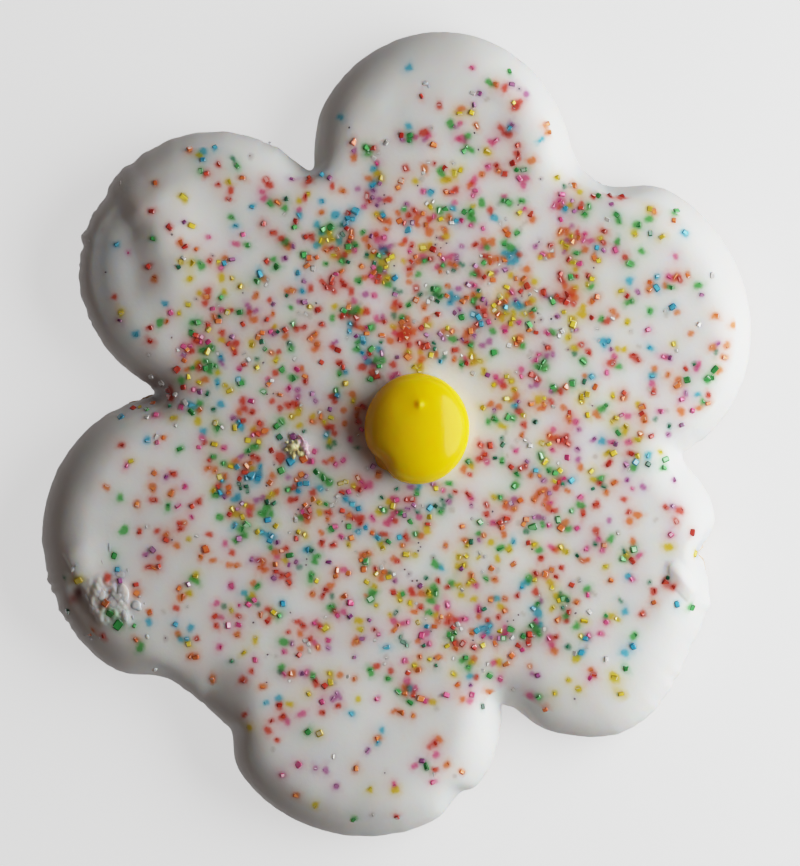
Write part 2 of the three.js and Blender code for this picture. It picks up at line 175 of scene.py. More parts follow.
def waves(places, length, seed):
    """Smooth random heights of about 1 each way, of plane waves with seeded directions."""
    draw = np.random.RandomState(seed)
    total = np.zeros(len(places))
    for _ in range(WAVE_COUNT):
        way = draw.normal(size=places.shape[1])
        way *= 2 * math.pi / (length * draw.uniform(0.7, 1.4) * np.linalg.norm(way))
        total += np.sin(places @ way + draw.uniform(0, 2 * math.pi))
    return total / math.sqrt(WAVE_COUNT / 2)


class Outline:
    """The outline at some directions: the round petals, and how the true edge departs from them."""

    def __init__(self, angle):
        self.angle = angle
        self.round = polar(petals_reach(angle), angle)
        self.swell = polar(edge_reach(angle), angle) - self.round
        self.retreat = bells(BARE_EDGES, angle)
        self.normal = outward(petals_reach, angle)
        self.facing = outward(edge_reach, angle)
        patches = waves(self.round, 5.5, seed=5)
        coarse = waves(self.round, 3.1, seed=3) * (1 + 0.6 * patches)
        fine = waves(self.round, 1.2, seed=4) * (1 - 0.5 * patches)
        ragged = EVEN_RAGGEDNESS + bells(RAGGED_EDGES, angle)
        self.ragged = ragged * (coarse + 0.5 * fine) - bells(RAGGED_EDGES, angle) * 0.5

    def inset(self, inset, gap=0.0, ragged=1.0):
        """Places some way in from the edge, with its swells and bare places fading out further in."""
        inset = np.broadcast_to(inset, self.angle.shape)
        fading = (1 - smoothstep(inset, 0, SHOULDER_WIDTH)) ** 2
        grain = ragged * self.ragged * np.exp(-np.maximum(inset, 0) / RAGGED_DEPTH)
        move = grain - inset - self.retreat * fading
        facing = self.normal + (self.facing - self.normal) * fading[:, None]
        facing /= np.linalg.norm(facing, axis=1)[:, None]
        place = self.round + self.normal * move[:, None]
        return place + self.swell * fading[:, None] + facing * gap


EDGE = Outline(FINE_ANGLES)
EVEN_INSET = 1.5


def evenly_round(count):
    """Directions whose points lie evenly along the outline, some way in."""
    places = EDGE.inset(EVEN_INSET, ragged=0)
    steps = np.linalg.norm(np.roll(places, -1, axis=0) - places, axis=1)
    along = np.concatenate([[0], np.cumsum(steps)])
    marks = np.arange(count) * along[-1] / count
    return np.interp(marks, along, np.append(FINE_ANGLES, 360.0))


edge_tree = kdtree.KDTree(len(EDGE.angle))
for number, (edge_x, edge_y) in enumerate(EDGE.round):
    edge_tree.insert((edge_x, edge_y, 0), number)
edge_tree.balance()

true_edge = EDGE.round + EDGE.swell
MIDDLE = np.append((true_edge.min(axis=0) + true_edge.max(axis=0)) / 2, 0)


def nearest_edge(flat):
    """For places on the round petals: their distance to the edge, and which edge point is nearest."""
    found = [edge_tree.find((x, y, 0)) for x, y in flat]
    return np.array([hit[2] for hit in found]), np.array([hit[1] for hit in found])


def shoulder(inset, width, rise):
    left = 1 - np.clip(inset / width, 0, 1)
    return rise * np.sqrt(np.maximum(1 - left * left, 0))


def crown(inset):
    return CROWN_RISE * (1 - np.exp(-np.maximum(inset, 0) / CROWN_LENGTH))


RIDGE_SOFTNESS = 2.5
RIDGE_SHIFT = 10.3


def soft_inset(flat):
    """Distance to the edge without the sharp ridges half way between opposite edges."""
    marks = EDGE.round[::20]
    parts = []
    for some in np.array_split(flat, max(1, len(flat) // 4000)):
        away = np.linalg.norm(some[:, None, :] - marks[None], axis=2)
        parts.append(-RIDGE_SOFTNESS * np.log(np.exp(-away / RIDGE_SOFTNESS).mean(axis=1)))
    return np.maximum(np.concatenate(parts) - RIDGE_SHIFT, 0)


def sway(x, y):
    """The slow rise and fall of the dough and of the icing over it."""
    return 0.14 * np.sin(x / 9 + 0.8) * np.cos(y / 11 - 0.4) + 0.1 * np.sin((x - y) / 6.5)


def smooth_height(flat, inset):
    calm = smoothstep(inset, 0, SHOULDER_WIDTH)
    rise = shoulder(inset, SHOULDER_WIDTH, SHOULDER_RISE) + calm * sway(flat[:, 0], flat[:, 1])
    blend = smoothstep(inset, 1, SHOULDER_WIDTH)
    return WAIST_HEIGHT + rise + crown(inset) * (1 - blend) + crown(soft_inset(flat)) * blend


def body_height(inset):
    """The biscuit's rounded shoulder inside the icing, some way in from its own widest place."""
    rise = shoulder(inset, SHOULDER_WIDTH - ICING_THICKNESS, SHOULDER_RISE - ICING_THICKNESS)
    return WAIST_HEIGHT + rise + crown(ICING_THICKNESS + inset)


def rim_height(outline):
    """Height of the icing's lower rim, which runs unevenly round the side."""
    turn = np.radians(outline.angle)
    slow = 0.4 * np.sin(3 * turn + 0.6) + 0.3 * np.sin(7 * turn + 2) + 0.2 * np.sin(13 * turn)
    return RIM_HEIGHT + slow + bells([CHIPPED_RIM], outline.angle)


def with_height(places, height):
    return np.column_stack([places, np.broadcast_to(height, len(places))])


def lies_within(x, y, reach_of):
    return np.hypot(x, y) < reach_of(np.degrees(np.arctan2(y, x)))


def inside_margin(flat, margin):
    """The places that lie on the round petals, some way in from their edge."""
    flat = flat[lies_within(*flat.T, petals_reach)]
    return flat[nearest_edge(flat)[0] > margin]


NET_HALF_WIDTH = 50
NET_HALF_LENGTH = 54
NET_JITTER = 0.25


def scattered_net(spacing, margin, seed):
    """Places in a loose triangular net over the round petals, some way in from their edge."""
    draw = np.random.RandomState(seed)
    rows = np.arange(-NET_HALF_LENGTH, NET_HALF_LENGTH, spacing * math.sqrt(3) / 2)
    columns = np.arange(-NET_HALF_WIDTH, NET_HALF_WIDTH, spacing)
    x = columns[None, :] + (np.arange(len(rows)) % 2)[:, None] * spacing / 2
    y = np.broadcast_to(rows[:, None], x.shape)
    flat = np.column_stack([x.ravel(), y.ravel()])
    flat += draw.uniform(-NET_JITTER, NET_JITTER, flat.shape) * spacing
    return inside_margin(flat, margin)


class Skin:
    """A closed skin put together from rings of points, quads between them, and filled caps."""

    def __init__(self):
        self.points = []
        self.faces = []
        self.count = 0

    def add(self, points):
        start = self.count
        self.points.append(points)
        self.count += len(points)
        return np.arange(start, self.count)

    def band(self, rings):
        """Adds rings, each joined to the one before; from the top outwards and down their faces show."""
        numbers = [self.add(ring) for ring in rings]
        for upper, lower in zip(numbers, numbers[1:]):
            self.join(upper, lower)
        return numbers

    def join(self, upper, lower):
        quads = [upper, lower, np.roll(lower, -1), np.roll(upper, -1)]
        self.faces += np.stack(quads, axis=1).tolist()

    def cap(self, ring, flat_ring, flat_inner, inner, facing_up=True):
        """Fills a ring with triangles through inner points; their flat places set the net."""
        numbers = np.concatenate([ring, self.add(inner)])
        flat = [Vector(place) for place in np.vstack([flat_ring, flat_inner]).tolist()]
        net = geometry.delaunay_2d_cdt(flat, [], [list(range(len(ring)))], 1, 1e-6, True)
        owners = np.array([numbers[own[0]] for own in net[3]])
        triangles = owners[np.array([face for face, within in zip(net[2], net[5]) if within])]
        self.faces += (triangles if facing_up else triangles[:, ::-1]).tolist()

    def fan(self, ring, centre):
        """Closes a ring with triangles to one point; a ring that turns left shows them from above."""
        middle = self.add(np.array([centre]))[0]
        self.faces += [[middle, here, after] for here, after in zip(ring, np.roll(ring, -1))]

    def piece(self, name, finish):
        return make_piece(name, np.vstack(self.points), self.faces, finish)


def add_object(name, data):
    made = bpy.data.objects.new(name, data)
    bpy.context.scene.collection.objects.link(made)
    return made


def make_piece(name, points, faces, finish, smooth=True):
    """A mesh from points in millimetres, which rides on the cookie's one body."""
    mesh = bpy.data.meshes.new(name)
    mesh.from_pydata(((points - MIDDLE) * MM).tolist(), [], faces)
    mesh.polygons.foreach_set("use_smooth", [smooth] * len(mesh.polygons))
    mesh.materials.append(finish.material)
    piece = add_object(name, mesh)
    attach(piece, "root")
    return piece


def paint(piece, name, values, domain="POINT"):
    """Keeps a number or a colour for every point or face of a piece, for its finish to read."""
    values = np.asarray(values, dtype=float)
    if values.ndim == 1:
        layer = piece.data.attributes.new(name, "FLOAT", domain)
        layer.data.foreach_set("value", values)
    else:
        layer = piece.data.attributes.new(name, "FLOAT_COLOR", "POINT")
        layer.data.foreach_set("color", np.column_stack([values, np.ones(len(values))]).ravel())


def shade(red, green, blue):
    """A colour as a screen shows it, from 0 to 255, as the light it gives back."""
    parts = np.array([red, green, blue]) / 255
    light = np.where(parts > 0.04045, ((parts + 0.055) / 1.055) ** 2.4, parts / 12.92)
    return (*light.tolist(), 1.0)


class Field:
    """A value that changes over a surface and takes part in ordinary sums."""

    def __init__(self, finish, socket):
        self.finish = finish
        self.socket = socket

    def sum_of(self, operation, first, second):
        return self.finish.node("ShaderNodeMath", {"operation": operation}, {0: first, 1: second})

    def __add__(self, other):
        return self.sum_of("ADD", self, other)

    def __radd__(self, other):
        return self.sum_of("ADD", other, self)

    def __sub__(self, other):
        return self.sum_of("SUBTRACT", self, other)

    def __rsub__(self, other):
        return self.sum_of("SUBTRACT", other, self)

    def __mul__(self, other):
        return self.sum_of("MULTIPLY", self, other)

    def __rmul__(self, other):
        return self.sum_of("MULTIPLY", other, self)


class Finish:
    """A surface finish: one shader, and the nodes that feed it."""

    def __init__(self, name):
        self.material = bpy.data.materials.new(name)
        self.material.use_nodes = True
        self.tree = self.material.node_tree
        self.shader = self.tree.nodes["Principled BSDF"]

    def node(self, kind, settings, sockets, output=0):
        """Adds a node: first its settings, or a ramp's stops, then the values or links of its sockets."""
        made = self.tree.nodes.new(kind)
        for name, value in settings.items():
            if name == "stops":
                ramp = made.color_ramp.elements
                while len(ramp) < len(value):
                    ramp.new(1.0)
                for stop, (place, colour) in zip(ramp, value):
                    stop.position = place
                    stop.color = colour
            else:
                setattr(made, name, value)
        for name, value in sockets.items():
            self.feed(made.inputs[name], value)
        return Field(self, made.outputs[output])

    def feed(self, socket, value):
        if isinstance(value, Field):
            self.tree.links.new(value.socket, socket)
        else:
            socket.default_value = value

    def surface(self, **sockets):
        for name, value in sockets.items():
            self.feed(self.shader.inputs[name.replace("_", " ")], value)

    def kept(self, name, output=2):
        """What paint() kept: output 2 is a number and output 0 a colour."""
        return self.node("ShaderNodeAttribute", {"attribute_name": name}, {}, output)

    def pattern(self, kind, **sockets):
        """A texture in the piece's own coordinates."""
        sockets["Vector"] = self.node("ShaderNodeTexCoord", {}, {}, output=3)
        return self.node(kind, {}, sockets)

    def noise(self, per_metre, detail=2.0, roughness=0.5):
        return self.pattern("ShaderNodeTexNoise", Scale=per_metre, Detail=detail, Roughness=roughness)

    def spots(self, per_metre):
        """Distance to the nearest of many scattered places, about 0 to 1."""
        return self.pattern("ShaderNodeTexVoronoi", Scale=per_metre)

    def ramp(self, share, *stops):
        return self.node("ShaderNodeValToRGB", {"stops": stops}, {"Fac": share})

    def mix(self, share, first, second, blend="MIX"):
        settings = {"data_type": "RGBA", "blend_type": blend}
        return self.node("ShaderNodeMix", settings, {0: share, 6: first, 7: second}, output=2)

    def bump(self, height, distance):
        return self.node("ShaderNodeBump", {}, {"Height": height, "Distance": distance})


def grey(level):
    return (level, level, level, 1.0)


baked = Finish("baked_dough")
mottle = baked.noise(180, detail=4, roughness=0.6)
browning = baked.kept("browning") + (mottle - 0.5) * 0.5
baked_colour = baked.ramp(
    browning,
    (0.05, shade(232, 208, 184)),
    (0.45, shade(208, 166, 124)),
    (0.75, shade(176, 116, 62)),
    (1.0, shade(120, 68, 34)),
)
crumb_grain = baked.noise(1400, detail=3, roughness=0.65)
grain_tone = baked.ramp(crumb_grain, (0.3, (0.72, 0.68, 0.64, 1)), (0.7, grey(1.08)))
# Painted shade: small dark spots where the dough's pores are
pore_shade = baked.ramp(baked.spots(900), (0.12, (0.45, 0.38, 0.32, 1)), (0.3, grey(1.0)))
grained = baked.mix(1.0, baked_colour, grain_tone, "MULTIPLY")
baked.surface(
    Base_Color=baked.mix(0.6, grained, pore_shade, "MULTIPLY"),
    Roughness=0.62 + 0.3 * crumb_grain,
    Normal=baked.bump(crumb_grain + 0.6 * baked.spots(700), 0.0001),
    IOR=1.45,
)

BISCUIT_STEPS = 760
SIDE_STEPS = 6
SHELF_RISE = 0.15
UNDERSIDE_ROUGHNESS = 0.3

# Rings where the foot rounds over below the icing's rim: how far in, and how far below the shelf
FOOT_SHOULDER = ((0.4, 0), (0.12, 0.05), (0, 0.25))

# Turns of the rings where the foot rounds under to the flat underside
FOOT_TURNS = (18, 36, 54, 72, 90)
BODY_BROWNING = 0.3
BROKEN_EDGE = (339, 5, 0.75)
SIDE_PITS = {"count": 260, "smallest": 0.22, "largest": 0.6, "depth": 0.2, "seed": 21}
UNDER_PITS = {"count": 420, "smallest": 0.3, "largest": 1.3, "depth": 0.32, "seed": 22}

round_biscuit = Outline(evenly_round(BISCUIT_STEPS))
shelf = rim_height(round_biscuit) - LAYER_GAP
foot_share = FOOT_INSET * (1 - np.minimum(round_biscuit.retreat / 0.4, 1))


def body_ring(inset):
    places = round_biscuit.inset(ICING_THICKNESS + inset, ragged=0)
    return with_height(places, body_height(inset))


def foot_ring(inset, height):
    places = round_biscuit.inset(foot_share + inset - round_biscuit.retreat)
    return with_height(places, height)


def pitted(points, outwards, pits, centres):
    """Presses round pits into a skin, against its outward direction."""
    draw = np.random.RandomState(pits["seed"] + 1)
    pushed = points.copy()
    for centre in centres:
        size = draw.uniform(pits["smallest"] ** 0.5, pits["largest"] ** 0.5) ** 2
        away = np.linalg.norm(points - centre, axis=1) / size
        near = away < 1
        depth = pits["depth"] * size / pits["largest"]
        pushed[near] -= outwards[near] * (depth * (1 - away[near] ** 2) ** 0.5)[:, None]
    return pushed


biscuit_skin = Skin()
top_flat = scattered_net(2.4, CAP_MARGIN, seed=11)
top_edge = round_biscuit.inset(SHOULDER_WIDTH, ragged=0)
body_rings = biscuit_skin.band([
    with_height(top_edge, smooth_height(top_edge, SHOULDER_WIDTH) - ICING_THICKNESS),
    *[body_ring(inset) for inset in reversed(BODY_INSETS)],
    with_height(round_biscuit.inset(ICING_THICKNESS, ragged=0), shelf + SHELF_RISE),
])
top_level = smooth_height(top_flat, nearest_edge(top_flat)[0]) - ICING_THICKNESS
top_points = with_height(top_flat, top_level)
biscuit_skin.cap(body_rings[0], top_edge, top_flat, top_points)

side_top = shelf - FOOT_SHOULDER[-1][1]
side_rings = [foot_ring(inset, shelf - below) for inset, below in FOOT_SHOULDER]
for part in np.arange(1, SIDE_STEPS + 1) / SIDE_STEPS:
    side_rings.append(foot_ring(0, side_top * (1 - part) + FOOT_EDGE_HEIGHT * part))
for turn in np.radians(FOOT_TURNS):
    height = FOOT_EDGE_HEIGHT * (1 - math.sin(turn))
    side_rings.append(foot_ring(FOOT_EDGE_RADIUS * (1 - math.cos(turn)), height))
side_points = np.vstack(side_rings)
side_outwards = np.tile(with_height(round_biscuit.facing, 0), (len(side_rings), 1))
rough = 0.07 * waves(side_points, 1.3, seed=31) + 0.05 * waves(side_points, 0.7, seed=32)
rough[-BISCUIT_STEPS:] *= UNDERSIDE_ROUGHNESS
side_points += side_outwards * rough[:, None]
draw = np.random.RandomState(SIDE_PITS["seed"])
pit_places = side_points[draw.randint(2 * BISCUIT_STEPS, 9 * BISCUIT_STEPS, SIDE_PITS["count"])]
side_points = pitted(side_points, side_outwards, SIDE_PITS, pit_places)
side_numbers = biscuit_skin.band(np.split(side_points, len(side_rings)))
biscuit_skin.join(body_rings[-1], side_numbers[0])

under_flat = scattered_net(0.62, FOOT_EDGE_RADIUS + FOOT_INSET + 0.5, seed=12)
draw = np.random.RandomState(UNDER_PITS["seed"])
under_points = with_height(under_flat, 0.0)
pit_places = under_points[draw.randint(0, len(under_flat), UNDER_PITS["count"])]
downwards = np.tile([0, 0, -1.0], (len(under_points), 1))
under_points = pitted(under_points, downwards, UNDER_PITS, pit_places)
wrinkles = 0.05 * waves(under_flat, 3.5, seed=33) + 0.03 * waves(under_flat, 1.4, seed=34)
under_points[:, 2] += np.maximum(wrinkles, 0)
under_edge = side_points[-BISCUIT_STEPS:, :2]
biscuit_skin.cap(side_numbers[-1], under_edge, under_flat, under_points, facing_up=False)

biscuit = biscuit_skin.piece("biscuit_baked", baked)
broken = bells([BROKEN_EDGE], round_biscuit.angle)
side_browning = np.concatenate([0.62 - broken + 0.25 * bell(ring[:, 2], 0.5, 0.2) for ring in side_rings])
near_edge = np.exp(-nearest_edge(under_flat)[0] / 2.2)
under_browning = 0.42 + 0.45 * near_edge - 1.1 * np.minimum(under_points[:, 2], 0.2)
body_browning = np.full(len(body_rings) * BISCUIT_STEPS + len(top_flat), BODY_BROWNING)
paint(biscuit, "browning", np.concatenate([body_browning, side_browning, under_browning]))
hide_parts("biscuit")

# Where the sugar crystals lie: coarse sanding sugar in eight colours and clear, thrown on while the
# icing was wet. Most have sunk in to their top facets, and their dye has run a little into the icing;
# the wider tint round each, shifted to the left, is partly painted coloured light.

CRYSTALS = {"count": 180, "spacing": 2.2, "seed": 77}
SCATTER_HALF_WIDTH = 45
SCATTER_HALF_LENGTH = 51
MOST_CHANCE = 1.9
SCATTER = {"x": 4, "y": 3, "halfwidth": 34, "halflength": 38, "softness": 0.16, "stray": 0.15}
SCATTER_MARGIN = 3.2
FINE_COUNT = 2020
FINE_SPACING = 0.52
FINE_MARGIN = 2.0

# The share that lies against another crystal, how far from it, and how often in its colour
CLUMPED = 0.24
CLUMP_GAP = (0.56, 1.0)
CLUMP_ALIKE = 0.5

# How far the crystals stand out of the icing, how often each, and how their sizes lean to the middle
PROUD_STEPS = [-0.1, 0.0, 0.05, 0.14]
PROUD_SHARES = [0.17, 0.31, 0.31, 0.21]
PROUD_VARIES = (0.6, 1.3)
SIZE_LEAN = (1.9, 2.2)
SMALLEST_PROUD = {"below": 0.3, "height": 0.03}
KEPT_CLEARANCE = 0.8

# The least and most that a crystal measures along, across and up, as shares of its size, and how its
# stain varies
SHAPE_LEAST = [0.9, 0.75, 0.78]
SHAPE_MOST = [1.3, 1.06, 1.0]
STAIN_VARIES = (0.55, 1.3)

# Where the crystals lie thicker or thinner than over the whole patch: x, y, reach and how much
CROWDS = [
    (5, 18, 12, 0.9),
    (-2, 29, 6, 1.0),
    (-3, 19, 5, 0.6),
    (14, 23, 5, 0.5),
    (12, 35, 6, 0.4),
    (20, 35, 4, 0.6),
    (20, 15, 6, 0.5),
    (22, 26, 5, 0.5),
    (13, -1, 5, 0.5),
    (21, -2, 4, 0.4),
    (-5, -6, 4, 1.1),
    (4, -16, 8, 0.8),
    (4, -29, 6, 0.9),
    (14, -25, 5, 0.8),
    (25, -15, 5, 0.4),
    (-6, 13, 5, 0.3),
    (-24, 10, 5, 1.2),
    (-20, -5, 7, 0.8),
    (-13, -13, 6, 0.7),
    (-13, -28, 6, 0.5),
    (-12, -37, 5, 0.4),
    (37, 7, 4, 0.3),
    (30, -3, 5, 0.3),
    (27, -31, 4, 0.4),
    (13, 42, 3, 0.6),
    (-36, 17, 8, -0.95),
    (-22, 27, 4, -0.6),
    (-38, 0, 6, -0.85),
    (-40, -10, 6, -0.8),
    (-41, -27, 6, -0.9),
    (-2, 44, 8, -0.9),
    (9, 49, 6, -0.9),
    (39, 18, 5, -0.7),
    (27, -9, 3.5, -0.7),
    (33, -12, 5, -0.5),
    (33, -22, 5, -0.8),
    (22, -33, 4, -0.6),
    (-10, -45, 7, -0.6),
]

DROP = {"x": 2.55, "y": 0.75, "halfwidth": 6.5, "halflength": 6.88, "height": 5.3, "seat": 0.4}

# Patches whose crystals are placed one by one: the crease, the hole, the tear, the flake, the stuck crumb
OWN_PATCHES = [
    {"x": -30.5, "y": 26.0, "length": 8.5, "width": 7.0, "turn": 0},
    {"x": -29.4, "y": 5.0, "length": 4.2, "width": 3.0, "turn": 0},
    {"x": -37.2, "y": -19.2, "length": 7.0, "width": 5.2, "turn": -68},
    {"x": 36.0, "y": -18.2, "length": 3.2, "width": 2.0, "turn": -45},
    {"x": -12.4, "y": -1.4, "length": 2.1, "width": 1.7, "turn": 0},
]


def oval_distance(x, y, oval, margin=0.0):
    """How far out from an oval's middle places lie, as a share of the way to its rim."""
    across = (x - oval["x"]) / (oval["halfwidth"] + margin)
    return np.hypot(across, (y - oval["y"]) / (oval["halflength"] + margin))


def share_of_scatter(x, y):
    """How thick the crystals lie, from 0 to 1: a soft-edged oval patch, and a few strays round it."""
    patch = 1 / (1 + np.exp((oval_distance(x, y, SCATTER) - 1) / SCATTER["softness"]))
    return SCATTER["stray"] + (1 - SCATTER["stray"]) * patch


def near_drop(x, y, margin):
    return oval_distance(x, y, DROP, margin) < 1


def turned(x, y, mark):
    """Places along and across a mark that lies at an angle."""
    turn = math.radians(mark["turn"])
    dx, dy = x - mark["x"], y - mark["y"]
    return dx * math.cos(turn) + dy * math.sin(turn), dy * math.cos(turn) - dx * math.sin(turn)


def in_own_patch(x, y):
    for patch in OWN_PATCHES:
        along, across = turned(x, y, patch)
        if math.hypot(along / patch["length"], across / patch["width"]) < 1:
            return True
    return False


def plain_draws(seed):
    """The same even draws from 0 to 1 as the solids were scattered with."""
    state = seed
    while True:
        state = (state * 1664525 + 1013904223) % 2**32
        yield state / 2**32


def coarse_places():
    """Where the largest crystals lie: the ones that stand out as solids."""
    draws = plain_draws(CRYSTALS["seed"])
    places = []
    while len(places) < CRYSTALS["count"]:
        x = (next(draws) * 2 - 1) * SCATTER_HALF_WIDTH
        y = (next(draws) * 2 - 1) * SCATTER_HALF_LENGTH
        chance = next(draws)
        clear = all(math.hypot(a - x, b - y) > CRYSTALS["spacing"] for a, b in places)
        wanted = chance < share_of_scatter(x, y) and not near_drop(x, y, 1)
        if wanted and clear and lies_within(x, y, edge_reach):
            if edge_tree.find((x, y, 0))[2] > SCATTER_MARGIN:
                places.append((x, y))
    return places


class Cells:
    """Places kept by the square that they lie in, to find those near another place."""

    def __init__(self, size):
        self.size = size
        self.squares = {}

    def square(self, x, y):
        return int(x // self.size), int(y // self.size)

    def add(self, x, y):
        self.squares.setdefault(self.square(x, y), []).append((x, y))

    def near(self, x, y):
        column, row = self.square(x, y)
        around = [(column + i, row + j) for i in (-1, 0, 1) for j in (-1, 0, 1)]
        return [place for square in around for place in self.squares.get(square, ())]


def fine_places(taken):
    """Where the finer crystals lie, thick over the patch and in its crowds, and what each lies against."""
    draw = np.random.RandomState(CRYSTALS["seed"])
    places = list(taken)
    leaders = list(range(len(taken)))
    cells = Cells(1.0)
    for x, y in places:
        cells.add(x, y)
    while len(places) < len(taken) + FINE_COUNT:
        x = draw.uniform(-SCATTER_HALF_WIDTH, SCATTER_HALF_WIDTH)
        y = draw.uniform(-SCATTER_HALF_LENGTH, SCATTER_HALF_LENGTH)
        chance = draw.uniform(0, MOST_CHANCE)
        leader = len(places)
        if draw.uniform() < CLUMPED * chance / MOST_CHANCE * 2:
            leader = draw.randint(len(places))
            turn, gap = draw.uniform(0, 2 * math.pi), draw.uniform(*CLUMP_GAP)
            x, y = places[leader][0] + gap * math.cos(turn), places[leader][1] + gap * math.sin(turn)
        crowd = 1 + sum(much * math.exp(-((x - a) ** 2 + (y - b) ** 2) / r**2) for a, b, r, much in CROWDS)
        if chance > share_of_scatter(x, y) * crowd or near_drop(x, y, 0.2) or in_own_patch(x, y):
            continue
        if any(math.hypot(a - x, b - y) < FINE_SPACING for a, b in cells.near(x, y)):
            continue
        if lies_within(x, y, petals_reach) and edge_tree.find((x, y, 0))[2] > FINE_MARGIN:
            places.append((x, y))
            leaders.append(leader)
            cells.add(x, y)
    return np.array(places), leaders


# Each kind's share of the whole, its sizes, the dye at its edges, its lighter and deeper faces, its
# stain and how strong that is, and where the kind lies thickest: x, y, reach and how much more
CRYSTAL_KINDS = {
    "red": {
        "share": 0.185, "sizes": (0.52, 0.9),
        "edges": shade(146, 24, 18), "faces": shade(230, 88, 60),
        "deeper": shade(200, 50, 38), "stain": shade(236, 90, 64),
        "strength": 0.6, "home": (-16, 12, 20, 0.5),
    },
    "orange": {
        "share": 0.17, "sizes": (0.54, 0.9),
        "edges": shade(184, 72, 30), "faces": shade(250, 160, 88),
        "deeper": shade(234, 118, 52), "stain": shade(248, 146, 78),
        "strength": 0.6, "home": (-4, 12, 24, 0.4),
    },
    "yellow": {
        "share": 0.15, "sizes": (0.53, 0.9),
        "edges": shade(164, 134, 12), "faces": shade(246, 226, 84),
        "deeper": shade(224, 192, 34), "stain": shade(240, 214, 50),
        "strength": 0.62, "home": (14, -22, 18, 0.5),
    },
    "green": {
        "share": 0.118, "sizes": (0.6, 1.0),
        "edges": shade(12, 92, 36), "faces": shade(112, 206, 116),
        "deeper": shade(54, 160, 74), "stain": shade(96, 196, 98),
        "strength": 0.58, "home": (14, 24, 20, 0.7),
    },
    "bottle_green": {
        "share": 0.05, "sizes": (0.44, 0.7),
        "edges": shade(4, 44, 30), "faces": shade(64, 146, 108),
        "deeper": shade(24, 96, 66), "stain": shade(84, 160, 126),
        "strength": 0.35, "home": (20, 0, 26, 0.4),
    },
    "blue": {
        "share": 0.068, "sizes": (0.56, 0.96),
        "edges": shade(16, 106, 140), "faces": shade(106, 206, 228),
        "deeper": shade(50, 164, 200), "stain": shade(96, 202, 228),
        "strength": 0.55, "home": (-30, -8, 16, 0.8),
    },
    "purple": {
        "share": 0.085, "sizes": (0.46, 0.76),
        "edges": shade(78, 14, 66), "faces": shade(214, 152, 196),
        "deeper": shade(156, 68, 134), "stain": shade(206, 126, 186),
        "strength": 0.45, "home": (26, 10, 20, 0.5),
    },
    "pink": {
        "share": 0.12, "sizes": (0.5, 0.84),
        "edges": shade(172, 26, 92), "faces": shade(244, 130, 176),
        "deeper": shade(222, 66, 128), "stain": shade(244, 122, 172),
        "strength": 0.58, "home": (0, -30, 24, 0.4),
    },
    "speck": {
        "share": 0.045, "sizes": (0.14, 0.26),
        "edges": shade(52, 34, 44), "faces": shade(104, 74, 90),
        "deeper": shade(76, 50, 64), "stain": shade(180, 160, 170),
        "strength": 0.1, "home": (0, 0, 60, 0.0),
    },
    "clear": {
        "share": 0.085, "sizes": (0.4, 0.72),
        "edges": shade(150, 144, 140), "faces": shade(252, 250, 247),
        "deeper": shade(226, 222, 218), "stain": shade(222, 216, 210),
        "strength": 0.1, "home": (0, 0, 60, 0.0),
    },
}


def drawn_kinds(places, draw):
    """A kind for each crystal, by the kinds' shares at its place."""
    weights = []
    for kind in CRYSTAL_KINDS.values():
        x, y, reach, more = kind["home"]
        away = np.hypot(places[:, 0] - x, places[:, 1] - y)
        weights.append(kind["share"] * (1 + more * bell(away, reach)))
    weights = np.cumsum(np.array(weights), axis=0)
    chance = draw.uniform(0, 1, len(places)) * weights[-1]
    return (chance[None, :] > weights).sum(axis=0)


coarse = coarse_places()
crystal_flat, crystal_leader = fine_places(coarse)
draw = np.random.RandomState(CRYSTALS["seed"] + 1)
crystal_kind = drawn_kinds(crystal_flat, draw)
for number, leader in enumerate(crystal_leader):
    if draw.uniform() < CLUMP_ALIKE:
        crystal_kind[number] = crystal_kind[leader % len(crystal_kind)]
size_low, size_high = np.array([kind["sizes"] for kind in CRYSTAL_KINDS.values()])[crystal_kind].T
crystal_size = size_low + (size_high - size_low) * draw.beta(*SIZE_LEAN, len(crystal_flat))
crystal_proud = draw.choice(PROUD_STEPS, len(crystal_flat), p=PROUD_SHARES)
crystal_proud *= draw.uniform(*PROUD_VARIES, len(crystal_flat))
crystal_proud[crystal_size < SMALLEST_PROUD["below"]] = SMALLEST_PROUD["height"]

